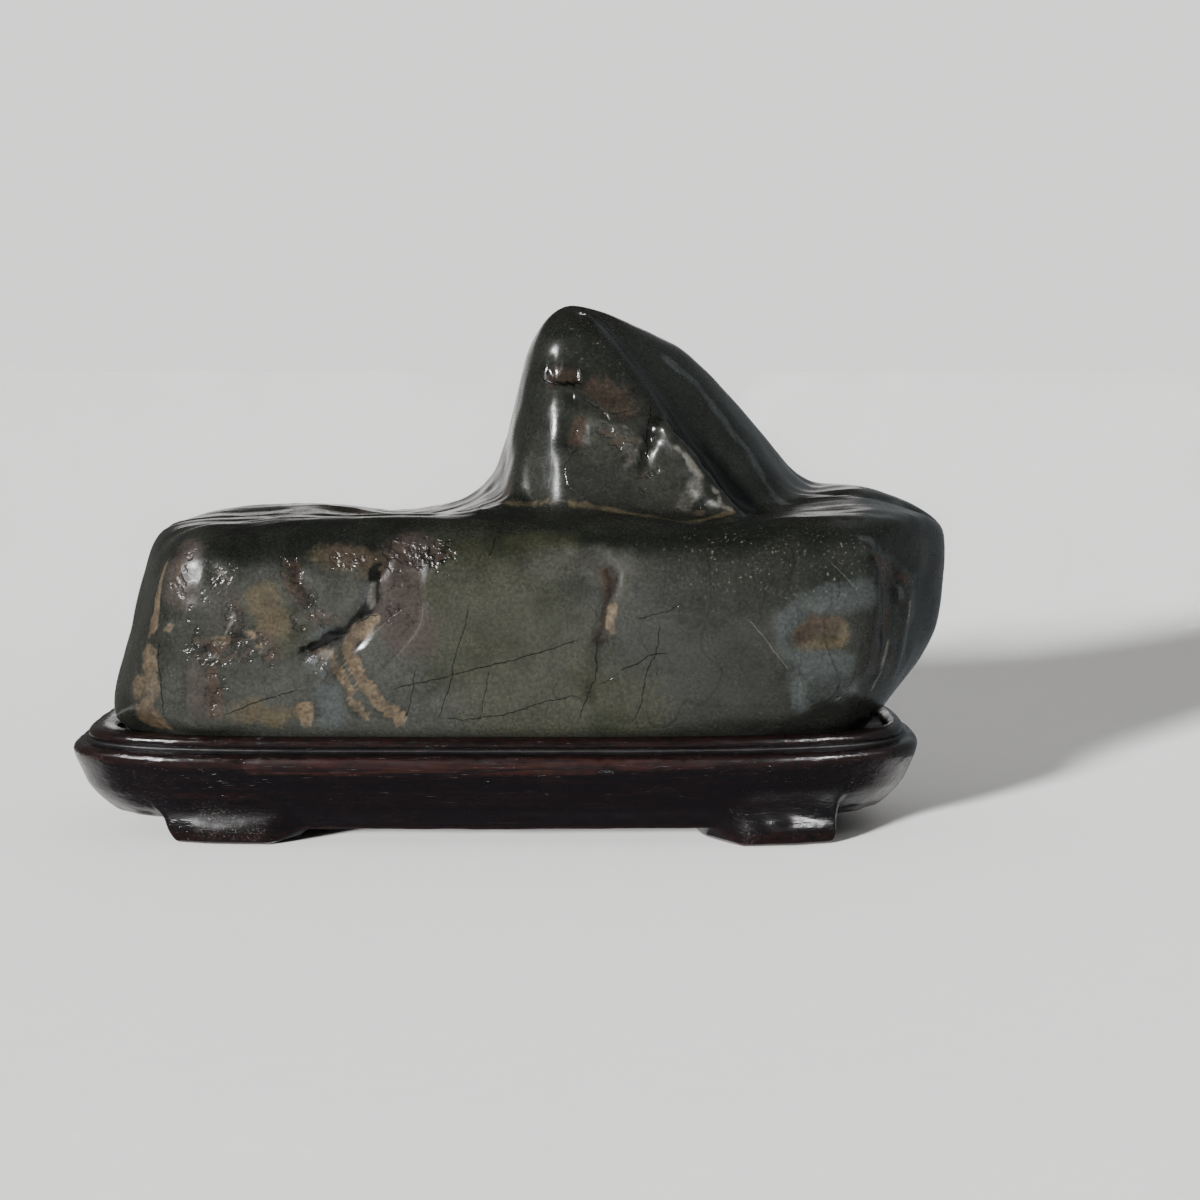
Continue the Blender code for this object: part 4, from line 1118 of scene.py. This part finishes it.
@dataclass
class Stand:
    """The stand: a shallow seat with a beaded rim, a rounded apron and two pairs of low feet."""

    plan: StandPlan
    columns: int = 720
    foot_level: int = 6
    end_arch_starts: float = 72.0
    end_arch_run: float = 18.0
    finest_step: float = 0.55
    most_substeps: int = 8
    corner_passes: int = 3
    bend_passes: int = 14
    full_bend: float = 0.16
    allowance: float = 0.12
    knob: float = 1.3

    def section(self, turns: Array) -> Array:
        """Control rings from the middle of the underside out, up the apron, over the rim and into the seat.

        Args:
            turns: turn of each column.

        Returns:
            levels x columns x 3 places in millimetres.
        """
        outline, deepest = self.plan.ring(0, turns), self.plan.ring(self.plan.underside_inset, turns)
        past_feet = smooth_step((np.abs(outline[:, 0] - self.plan.centre_x) - self.end_arch_starts)
                                / self.end_arch_run)[:, None]
        shares = [foot.share(outline[:, 0], self.plan)[:, None] for foot in FEET]
        rings = [np.column_stack([self.plan.seat_ring(inset, turns), np.full(len(turns), height)])
                 for inset, height in SEAT_STEPS]
        rings += [np.column_stack([self.plan.ring(inset, turns), np.full(len(turns), height)])
                  for inset, height in RIM_STEPS]
        for level, (middle, end) in enumerate(zip(APRON_STEPS, END_STEPS)):
            steps = np.array(middle) + past_feet * (np.array(end) - np.array(middle))
            if level >= self.foot_level:
                for foot, share in zip(FEET, shares):
                    steps = steps + share * (np.array(foot.steps()[level - self.foot_level]) - steps)
            pull = steps[:, :1] / self.plan.underside_inset
            rings.append(np.column_stack([outline * (1 - pull) + deepest * pull, steps[:, 1]]))
        return np.array(rings[::-1])

    def crowding(self, places: Array) -> Array:
        """Columns stand closer together at the sides of the feet and a little closer along the show side."""
        density = np.ones(len(places)) + 0.4 * (places[:, 1] < 0)
        for foot in FEET:
            toe = foot.toe_x(places[:, 0], self.plan)
            for edge, run in foot.edges():
                density += 1.5 * (np.abs(toe - edge) < run / 2 + 1.2)
        return density

    def finer(self, rings: Array) -> Array:
        """Divide each control level into even steps, then round the corners by averaging along the section."""
        gaps = np.linalg.norm(np.diff(rings, axis=0), axis=2).mean(axis=1)
        counts = np.clip(np.ceil(gaps / self.finest_step), 1, self.most_substeps).astype(int)
        stations = np.concatenate([np.arange(count) / count + level for level, count in enumerate(counts)]
                                  + [[len(rings) - 1.0]])
        lower = np.minimum(stations.astype(int), len(rings) - 2)
        share = (stations - lower)[:, None, None]
        grid = rings[lower] * (1 - share) + rings[lower + 1] * share
        return self.averaged(grid, self.corner_passes)

    @staticmethod
    def averaged(grid: Array, passes: int) -> Array:
        """Average each level with its two neighbours, weighted one, two, one, with both ends held."""
        for _ in range(passes):
            inner = (grid[:-2] + 2 * grid[1:-1] + grid[2:]) / 4
            grid = np.concatenate([grid[:1], inner, grid[-1:]])
        return grid

    @staticmethod
    def grid_normals(grid: Array) -> Array:
        """Outward normals of a grid of rings: the cross product of the steps along and across it."""
        along = np.roll(grid, -1, axis=1) - np.roll(grid, 1, axis=1)
        normals = np.cross(along, np.gradient(grid, axis=0))
        return normals / np.maximum(np.linalg.norm(normals, axis=2, keepdims=True), 1e-9)

    def relief(self, points: Array) -> Array:
        """Height of the tool work: slow waves, small nicks at the apron's lower edge and knobs on the feet.

        Args:
            points: places in millimetres, one row each.

        Returns:
            How far each point is moved out along its normal.
        """
        height = 0.10 * wave(points, 7.0, 51) + 0.05 * wave(points, 2.6, 52) + 0.16 * wave(points, (17, 17, 6), 53)
        low = np.exp(-((points[:, 2] - 6.4) / 1.5) ** 2)
        nicks = np.clip(wave(points, (4.6, 4.6, 9.0), 54) + 0.1, 0, 1)
        height -= 0.55 * low * nicks
        for mark in STAND_MARKS:
            height -= mark.press(points)
        for foot in FEET:
            across = (points[:, 0] - foot.middle) / (0.62 * foot.half_width)
            height += self.knob * np.exp(-across ** 2 - ((points[:, 2] - 4.2) / 2.6) ** 2)
        return height

    def build(self) -> bpy.types.Object:
        """Make the stand and write its masks: proud edges, hollows, worn polish, raw wood, and dust on the feet that
        is partly painted highlight.

        Returns:
            The stand's object.
        """
        turns = even_turns(lambda turns: self.plan.ring(0, turns), self.columns, self.crowding)
        grid = self.finer(self.section(turns))
        normals = self.grid_normals(grid)
        bend = ((grid - self.averaged(grid, self.bend_passes)) * normals).sum(axis=2).ravel() / self.full_bend
        flat = grid.reshape(-1, 3)
        inside_box = np.where((flat[:, 2] < 0.02) | (flat[:, 2] > self.plan.rim_top_z - 0.02), 0.0, 1.0)
        height = (self.relief(flat) - self.allowance) * inside_box
        grid = (flat + normals.reshape(-1, 3) * height[:, None]).reshape(grid.shape)
        grid[..., 2] = np.clip(grid[..., 2], 0, self.plan.rim_top_z)
        under = np.array([self.plan.centre_x, 0, self.plan.underside_z])
        seat = np.array([self.plan.centre_x, 0, self.plan.seat_z])
        stand = closed_grid("carved_stand", grid, under, seat)
        ends = np.zeros(2)
        write_mask(stand, "proud", np.concatenate([np.clip(bend, 0, 1), ends]))
        write_mask(stand, "hollow", np.concatenate([np.clip(-bend, 0, 1), ends]))
        every = np.concatenate([grid.reshape(-1, 3), under[None], seat[None]])
        for name, wear in WEAR.items():
            write_mask(stand, name, np.max([stroke.stain(every) for stroke in wear], axis=0))
        return stand


STAND_MARKS = strokes(
    (1.1, 0.5, (62.2, -43, 1.6), (70.6, -43, 1)), (1, 0.4, (-51.4, -42, 9.6), (-51, -42, 9)),
)
WEAR = {
    # polish worn through to reddish wood
    "rubbed": strokes(
        (2.2, 0.8, (-60, -46, 20.4), (20, -46, 20.6)), (1.7, 0.65, (20, -46, 21), (56, -46, 21.2)),
        (1.6, 1, (-104, -34, 25), (-92, -41, 25.5), (-76, -42.5, 25.8)),
        (1.5, 0.9, (76, -42, 25.8), (88, -38, 25.6), (95, -30, 25)),
    ),
    # bare broken wood
    "raw": strokes(
        (1.3, 1, (62.4, -43, 1.6), (70.4, -43, 1)), (1, 1, (-51.4, -42, 9.6), (-51, -42, 9)),
    ),
    # grey dust lying on the feet, laid where they catch the light: partly painted highlight
    "dust_and_highlight": strokes(
        (4.4, 1, (-71, -40, 6.4), (-61, -42, 4.6)), (2.8, 0.9, (54, -43, 7), (57.4, -43, 2)),
        (2.2, 0.9, (67, -43, 9.4), (69, -43, 3.4)),
    ),
}


# ---------------------------------------------------------------- finishes

def new_material(name: str) -> tuple[bpy.types.Material, Bench, bpy.types.Node]:
    """Start a material with only its shader.

    Args:
        name: the material's name.

    Returns:
        The material, a bench on its nodes and its Principled shader.
    """
    material = bpy.data.materials.new(name)
    material.use_nodes = True
    tree = material.node_tree
    tree.nodes.clear()
    bench = Bench(tree)
    shader = bench.node("BsdfPrincipled")
    bench.feed(bench.node("OutputMaterial").inputs["Surface"], shader.outputs[0])
    return material, bench, shader


@dataclass(frozen=True)
class StoneFinish:
    """Polished green-black stone with tan and rusty veins, hairline cracks, bloom and settled dust, and painted shade,
    shadow and highlights.
    """

    ground: Colour = (0.0345, 0.0356, 0.0312)
    shade: Colour = (0.0176, 0.0192, 0.0150)
    pale: Colour = (0.0500, 0.0510, 0.0422)
    olive: Colour = (0.0338, 0.0355, 0.0195)
    mauve: Colour = (0.0375, 0.0287, 0.0245)
    rust: Colour = (0.0438, 0.0320, 0.0240)
    ochre: Colour = (0.1150, 0.0863, 0.0537)
    # pale bluish bloom, also used for painted highlights and reflections
    bloom_and_highlight: Colour = (0.0415, 0.0475, 0.0470)
    # whitish haze, also used for painted sheen on the peak
    haze_and_sheen: Colour = (0.0400, 0.0410, 0.0340)
    # near-black of crumbs and cracks, also used for painted shadow and the painted shade in pits
    soot_and_shadow: Colour = (0.0018, 0.0020, 0.0018)
    # darkest colour, for the painted shade
    painted_shade: Colour = (0.0065, 0.0077, 0.0060)
    tan: Colour = (0.0600, 0.0488, 0.0295)
    # pale of rubbed edges, also used for painted highlights
    worn_edge_and_highlight: Colour = (0.1200, 0.1125, 0.1000)
    dust: Colour = (0.2000, 0.1825, 0.1600)

    def lines(self, bench: Bench, effects: Effects, place: Input, lines: Sequence[Hairline],
              behind: bool = False) -> Input:
        """Draw hairlines: each follows a curve of its run, and the strongest one counts at any place.

        Args:
            bench: the material's bench.
            effects: the shared effects.
            place: the point's place in millimetres.
            lines: the hairlines.
            behind: whether they lie on the back and not on the show side.

        Returns:
            The lines' strength.
        """
        x, y, z = bench.split(place)
        noise = bench.grain(place, 2.4, 3.0, 0.6)
        strongest: Input = 0.0
        for line in lines:
            along, across = (x, z) if line.run is Run.ALONG else (z, x)
            pairs = [pair if line.run is Run.ALONG else pair[::-1] for pair in line.places]
            starts, ends = pairs[0][0], pairs[-1][0]
            low = min(pair[1] for pair in pairs) - 0.5
            span = max(pair[1] for pair in pairs) + 0.5 - low
            knots = [((run - starts) / (ends - starts), (height - low) / span) for run, height in pairs]
            travelled = bench.math("DIVIDE", bench.math("SUBTRACT", along, starts), ends - starts)
            middle = bench.math("MULTIPLY_ADD", bench.curve(travelled, knots), span, low)
            drawn = bench.use(effects.line, Offset=bench.math("SUBTRACT", across, middle),
                              Half_Width=line.half_width, Along=travelled, Noise=noise)
            strongest = bench.math("MAXIMUM", strongest, drawn)
        if behind:
            return bench.product(strongest, bench.ramp(y, 24.0, 28.0))
        on_front = bench.ramp(y, -24.0, -28.0)
        on_peak = bench.product(bench.ramp(z, 78.0, 82.0), bench.ramp(y, 6.0, 2.0))
        return bench.product(strongest, bench.math("MAXIMUM", on_front, on_peak))

    def build(self, effects: Effects) -> bpy.types.Material:
        """Build the material.

        Args:
            effects: the shared effects.

        Returns:
            The material.
        """
        material, bench, shader = new_material("polished_stone")
        place = bench.place()
        mottle = bench.grain(place, 0.8, 2.0, 0.6)
        blotch = bench.grain(place, (6.0, 6.0, 5.0), 3.0, 0.55)
        cloud = bench.grain(place, (26.0, 22.0, 20.0), 2.0, 0.5)
        edge = bench.grain(place, 2.2, 4.0, 0.65)
        crumbs = bench.grain(place, (2.6, 2.6, 2.2), 2.5, 0.55)

        # the ground and its stains, with painted shade, painted shadow and painted highlights among them
        colour = bench.mix(bench.ramp(cloud, 0.30, 0.50), self.shade, self.ground)
        # painted shade darkens the brow, the tops, the peak and the right end
        colour = bench.lay(colour, (bench.ramp(blotch, 0.5, 0.75), 0.3, self.pale),
                           (bench.ramp(blotch, 0.46, 0.28), 0.3, self.shade), (bench.mask("painted_shade"), 0.9, self.painted_shade))
        earth = bench.mix(bench.ramp(crumbs, 0.42, 0.62, (0.0, 0.65)), self.ochre, self.rust)
        uneven = bench.ramp(blotch, 0.2, 0.6, (0.55, 1.0))
        # the sheen stain is painted highlight; the soft bloom, bloom, haze and pale rub stains are partly painted
        # highlights and reflections; the soot stain is partly painted shadow
        for name, tone, raggedness, softness in (
                ("olive", self.olive, 0.5, 0.5), ("mauve", self.mauve, 0.7, 0.45), ("haze_and_sheen", self.haze_and_sheen, 0.5, 0.5),
                ("soft_bloom_and_reflection", self.bloom_and_highlight, 0.6, 0.5), ("bloom_and_highlight", self.bloom_and_highlight, 0.9, 0.5), ("tan", self.tan, 1.1, 0.5),
                ("rust", self.rust, 1.0, 0.3), ("ochre", earth, 1.0, 0.16), ("soot_and_shadow", self.soot_and_shadow, 1.2, 0.3),
                ("pale_rub_and_highlight", self.worn_edge_and_highlight, 1.2, 0.35), ("sheen", self.worn_edge_and_highlight, 0.7, 0.5)):
            stain = bench.use(effects.ragged_edge, Amount=bench.mask(name), Noise=edge, Raggedness=raggedness,
                              Softness=softness)
            colour = bench.mix(bench.product(stain, uneven), colour, tone)
        # painted shade: the turned left end is made darker
        left_end_shade = bench.ramp(bench.split(place)[0], -88.0, -78.0, (0.6, 1.0))
        colour = bench.scale(colour, bench.product(bench.ramp(mottle, 0.25, 0.75, (0.72, 1.28)), left_end_shade))

        # crumbly pits, cracks, worn edges, pale scratches with painted highlight lines, painted shade in the pits, and
        # dust
        crumbling = bench.math("SUBTRACT", crumbs, bench.product(bench.without(bench.mask("crumble")), 0.4))
        pitted = bench.ramp(crumbling, 0.50, 0.57)
        sunk = bench.ramp(crumbling, 0.42, 0.60)
        rims = bench.product(bench.ramp(crumbling, 0.44, 0.50), bench.without(pitted))
        veins = bench.use(effects.scratches, Place=bench.stretch(place, (19.0, 19.0, 34.0)), Width=0.006)
        hairs = bench.math("MAXIMUM", self.lines(bench, effects, place, HAIRLINES),
                           self.lines(bench, effects, place, BACK_HAIRLINES, behind=True))
        # pale scratches and painted highlight lines
        pale_scratches_and_highlights = self.lines(bench, effects, place, SCRATCHES_AND_HIGHLIGHTS)
        # painted shade: the pits of the relief are darkened, less so within the ochre
        painted_pit_shade = bench.product(bench.mask("pit"), bench.ramp(bench.mask("ochre"), 0.0, 0.8, (0.55, 0.1)))
        colour = bench.lay(colour, (pitted, 0.55, self.rust), (rims, 0.35, self.soot_and_shadow), (veins, 0.35, self.soot_and_shadow),
                           (hairs, 0.9, self.soot_and_shadow), (pale_scratches_and_highlights, 0.55, self.worn_edge_and_highlight), (painted_pit_shade, 1.0, self.soot_and_shadow),
                           (bench.mask("proud"), 0.25, self.pale))
        specks = bench.product(bench.ramp(mottle, 0.66, 0.72), bench.mask("specks"), 0.6)
        gathered = bench.use(effects.settled_dust, Place=place, Hollow=bench.mask("hollow"), Amount=0.5)
        colour = bench.mix(bench.math("MAXIMUM", specks, gathered), colour, self.dust)
        bench.feed(shader.inputs["Base Color"], colour)

        rough = bench.weighted((bench.ramp(blotch, 0.3, 0.7, (0.19, 0.29)), 1.0),
                               (bench.math("SUBTRACT", mottle, 0.5), 0.14), (bench.mask("haze_and_sheen"), 0.1),
                               (bench.mask("ochre"), 0.18), (bench.mask("mauve"), 0.12),
                               (bench.math("MAXIMUM", hairs, painted_pit_shade), -0.16))
        bench.feed(shader.inputs["Roughness"], rough)
        grit = bench.use(effects.grit, Place=place, Size=0.55)
        broken = bench.product(bench.mask("hackly"), bench.weighted((edge, 0.06), (mottle, 0.03)))
        height = bench.weighted((grit, 0.015), (blotch, 0.06), (sunk, -0.17), (hairs, -0.04), (broken, 1.0))
        bench.feed(shader.inputs["Normal"], bench.bump(height))
        shader.inputs["IOR"].default_value = 1.36
        return material


@dataclass(frozen=True)
class WoodFinish:
    """Dark oiled hardwood: near-black polish, worn reddish on its edges, with fine grain along X, and grey dust on the
    feet that is partly painted highlight.
    """

    polish: Colour = (0.0032, 0.0027, 0.0034)
    brown: Colour = (0.0078, 0.0037, 0.0033)
    worn: Colour = (0.0235, 0.0075, 0.0056)
    rubbed: Colour = (0.0240, 0.0072, 0.0052)
    raw: Colour = (0.1955, 0.1150, 0.0828)
    dust: Colour = (0.1265, 0.1150, 0.1058)
    pore: Colour = (0.0022, 0.0018, 0.0018)

    def build(self, effects: Effects) -> bpy.types.Material:
        """Build the material.

        Args:
            effects: the shared effects.

        Returns:
            The material.
        """
        material, bench, shader = new_material("oiled_wood")
        place = bench.place()
        grain = bench.grain(place, (22.0, 1.0, 0.8), 4.0, 0.6, 0.4)
        pores = bench.ramp(bench.grain(place, (5.0, 0.35, 0.3), 1.0), 0.66, 0.74)
        blotch = bench.grain(place, (12.0, 6.0, 4.0), 3.0, 0.6)
        edge = bench.grain(place, (3.0, 1.4, 1.4), 4.0, 0.65)
        hollow, dust_and_highlight = bench.mask("hollow"), bench.mask("dust_and_highlight")

        worn = bench.use(effects.ragged_edge, Amount=bench.product(bench.mask("proud"), 0.5), Noise=edge,
                         Raggedness=1.0, Softness=0.25)
        rubbed = bench.use(effects.ragged_edge, Amount=bench.mask("rubbed"), Noise=edge, Raggedness=1.2,
                           Softness=0.4)
        lines = bench.use(effects.scratches, Place=bench.stretch(place, (14.0, 2.2, 1.6)), Width=0.012)
        raw = bench.use(effects.ragged_edge, Amount=bench.mask("raw"), Noise=edge, Raggedness=0.8, Softness=0.12)
        colour = bench.lay(self.polish, (bench.ramp(grain, 0.4, 0.68), 0.55, self.brown),
                           (bench.ramp(blotch, 0.5, 0.7), 0.35, self.brown), (worn, 0.5, self.worn),
                           (rubbed, bench.ramp(grain, 0.42, 0.6, (0.15, 0.9)), self.rubbed),
                           (pores, 0.6, self.pore), (lines, 0.25, self.worn), (raw, 1.0, self.raw))
        gathered = bench.use(effects.settled_dust, Place=place, Hollow=hollow, Amount=0.15)
        # dust on the feet, partly painted highlight
        laid = bench.use(effects.settled_dust, Place=place, Hollow=dust_and_highlight, Amount=0.7)
        colour = bench.mix(bench.math("MAXIMUM", gathered, laid), colour, self.dust)
        bench.feed(shader.inputs["Base Color"], colour)

        rough = bench.weighted((bench.ramp(blotch, 0.3, 0.7, (0.19, 0.29)), 1.0), (rubbed, 0.12), (raw, 0.4),
                               (dust_and_highlight, 0.2), (hollow, 0.25))
        bench.feed(shader.inputs["Roughness"], rough)
        height = bench.weighted((grain, 0.12), (pores, -0.05), (blotch, 0.2), (edge, 0.05))
        bench.feed(shader.inputs["Normal"], bench.bump(height))
        shader.inputs["IOR"].default_value = 1.4
        return material


@dataclass(frozen=True)
class FloorFinish:
    """Plain pale matt floor with the faintest mottling."""

    colour: Colour = (0.86, 0.85, 0.835)

    def build(self) -> bpy.types.Material:
        """Build the material."""
        material, bench, shader = new_material("pale_floor")
        speck = bench.grain(bench.place(), 9.0, 3.0, 0.6)
        tone = tuple(channel * 0.97 for channel in self.colour)
        bench.feed(shader.inputs["Base Color"], bench.mix(speck, self.colour, tone))
        shader.inputs["Roughness"].default_value = 0.75
        return material


# ---------------------------------------------------------------- the room

class Lamp(NamedTuple):
    """An even, soft-edged light: its place round the object and its spread in degrees, and its power."""

    name: str
    azimuth: float
    elevation: float
    spread: float
    power: float

    def hang(self, as_glint: bool, falls_on: Sequence[bpy.types.Object] = ()) -> None:
        """Hang the light, which stands `azimuth` degrees round from +X.

        Args:
            as_glint: whether it shows only in polish; any other light shows only as plain light.
            falls_on: the only objects that it lights, or nothing for all; every object still casts its shadow.
        """
        light = bpy.data.lights.new(self.name, "SUN")
        light.energy = self.power
        light.angle = math.radians(self.spread)
        lamp = new_object(self.name, light)
        turn, lift = math.radians(self.azimuth), math.radians(self.elevation)
        toward = Vector((math.cos(lift) * math.cos(turn), math.cos(lift) * math.sin(turn), math.sin(lift)))
        lamp.location = toward * 2
        lamp.rotation_euler = toward.to_track_quat("Z", "Y").to_euler()
        lamp.visible_glossy, lamp.visible_diffuse = as_glint, not as_glint
        if falls_on:
            group = bpy.data.collections.new(f"{self.name}_falls_on")
            for receiver in falls_on:
                group.objects.link(receiver)
            lamp.light_linking.receiver_collection = group


class Card(NamedTuple):
    """A dim card that only the polish sees, to keep the bright floor out of it: one corner and its two edges."""

    name: str
    corner: Point
    side: Point
    rise: Point
    glow: Colour

    def set_up(self) -> None:
        """Set the card up as part of the room."""
        start, along, up = np.array(self.corner), np.array(self.side), np.array(self.rise)
        mesh = bpy.data.meshes.new(self.name)
        mesh.from_pydata([start, start + along, start + along + up, start + up], [], [(0, 1, 2, 3)])
        material, _, shader = new_material(self.name)
        shader.inputs["Base Color"].default_value = (0, 0, 0, 1)
        shader.inputs["Emission Color"].default_value = (*self.glow, 1)
        shader.inputs["Emission Strength"].default_value = 1.0
        shader.inputs["Roughness"].default_value = 1.0
        mesh.materials.append(material)
        card = new_object(self.name, mesh)
        card.visible_camera = card.visible_diffuse = card.visible_shadow = False


FLOOR_LAMPS = (Lamp("floor_key", 238.0, 10.0, 7.0, 23.0), Lamp("floor_fill", 90.0, 80.0, 130.0, 1.3))
OBJECT_LAMPS = (Lamp("object_key", 238.0, 10.0, 7.0, 6.6), Lamp("object_back", 84.0, 38.0, 60.0, 4.0))
GLINT = Lamp("glint_light", 220.0, 30.0, 5.0, 9.0)
STAND_GLINT = Lamp("stand_glint_light", 318.0, 30.0, 6.0, 5.0)
CARDS = (
    Card("right_card", (0.122, -0.50, 0.001), (0, 0.80, 0), (0, 0, 0.30), (0.20, 0.22, 0.235)),
    Card("left_card", (-0.170, -0.22, 0.001), (0, 0.56, 0), (0, 0, 0.25), (0.12, 0.118, 0.112)),
    Card("low_card", (-0.21, -0.26, 0.001), (0.42, 0, 0), (0, 0.232, 0), (0.12, 0.12, 0.135)),
)


@dataclass
class Studio:
    """A pale floor, soft lights, dim cards, a soft room and the camera, in metres.

    The floor has its own lights, so that it stays pale beside the dark stone.
    """

    stone: bpy.types.Object
    stand: bpy.types.Object
    floor_size: float = 60.0
    camera_place: Point = (0.022, -0.620, 0.115)
    camera_pitch: float = 5.5
    lens: float = 74.4
    backdrop: Colour = (1.365, 1.347, 1.328)

    def lights(self, floor: bpy.types.Object) -> None:
        """Hang plain light for the floor and for the object, a glint for all and one for the stand."""
        for lamps, receivers in ((FLOOR_LAMPS, [floor]), (OBJECT_LAMPS, [self.stone, self.stand])):
            for lamp in lamps:
                lamp.hang(as_glint=False, falls_on=receivers)
        GLINT.hang(as_glint=True)
        STAND_GLINT.hang(as_glint=True, falls_on=[self.stand])

    def floor(self) -> bpy.types.Object:
        """Lay the floor: a square sheet of four corners."""
        half = self.floor_size / 2
        mesh = bpy.data.meshes.new("floor")
        corners = [(-half, -half, 0), (half, -half, 0), (half, half, 0), (-half, half, 0)]
        mesh.from_pydata(corners, [], [(0, 1, 2, 3)])
        mesh.materials.append(FloorFinish().build())
        floor = new_object("floor", mesh)
        return floor

    def sky(self) -> None:
        """Light the room: plain pale for the camera, and for light brighter low down behind the object."""
        world = bpy.data.worlds.new("soft_room")
        world.use_nodes = True
        world.node_tree.nodes.clear()
        bench = Bench(world.node_tree)
        x, y, z = bench.split(bench.vector("NORMALIZE", bench.node("TexCoord").outputs["Generated"]))
        wall = bench.product(bench.ramp(y, 0.86, 0.97), bench.ramp(z, 0.42, 0.14, (0.0, 1.6)))
        left = bench.product(bench.ramp(x, -0.2, -0.9), bench.ramp(z, 0.5, 0.1, (0.0, 0.12)))
        soft = bench.scale((1.0, 0.98, 0.96), bench.total(wall, left, 0.04))
        camera_ray = bench.node("LightPath").outputs["Is Camera Ray"]
        background = bench.node("Background")
        bench.feed(background.inputs["Color"], bench.mix(camera_ray, soft, self.backdrop))
        bench.feed(bench.node("OutputWorld").inputs["Surface"], background.outputs[0])
        bpy.context.scene.world = world

    def camera(self) -> None:
        """Set up the camera, level with the top of the stone and tipped down a little."""
        lens = bpy.data.cameras.new("camera")
        lens.lens = self.lens
        lens.clip_start = 0.01
        lens.clip_end = 100
        camera = new_object("camera", lens)
        camera.location = self.camera_place
        camera.rotation_euler = (math.radians(90 - self.camera_pitch), 0, 0)
        bpy.context.scene.camera = camera

    def build(self) -> None:
        """Set up the whole room."""
        floor = self.floor()
        for card in CARDS:
            card.set_up()
        self.lights(floor)
        self.sky()
        self.camera()


def mount(piece: bpy.types.Object, material: bpy.types.Material, node: str) -> bpy.types.Object:
    """Give a piece its finish and put it in the place of its solid.

    Args:
        piece: the dressed piece.
        material: its finish.
        node: the solid that it stands for.

    Returns:
        The piece.
    """
    piece.data.materials.append(material)
    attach(piece, "root")
    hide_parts(node)
    log.info("%s: %d faces, stands for %s", piece.name, len(piece.data.polygons), node)
    return piece


def main() -> None:
    """Dress the stone and the stand, then set up the room."""
    logging.basicConfig(level=logging.INFO, format="%(name)s: %(message)s")
    effects = Effects()
    plan = StandPlan()
    stone = mount(Stone(plan).build(), StoneFinish().build(effects), "stone")
    stand = mount(Stand(plan).build(), WoodFinish().build(effects), "stand")
    Studio(stone, stand).build()


if __name__ == "__main__":
    main()
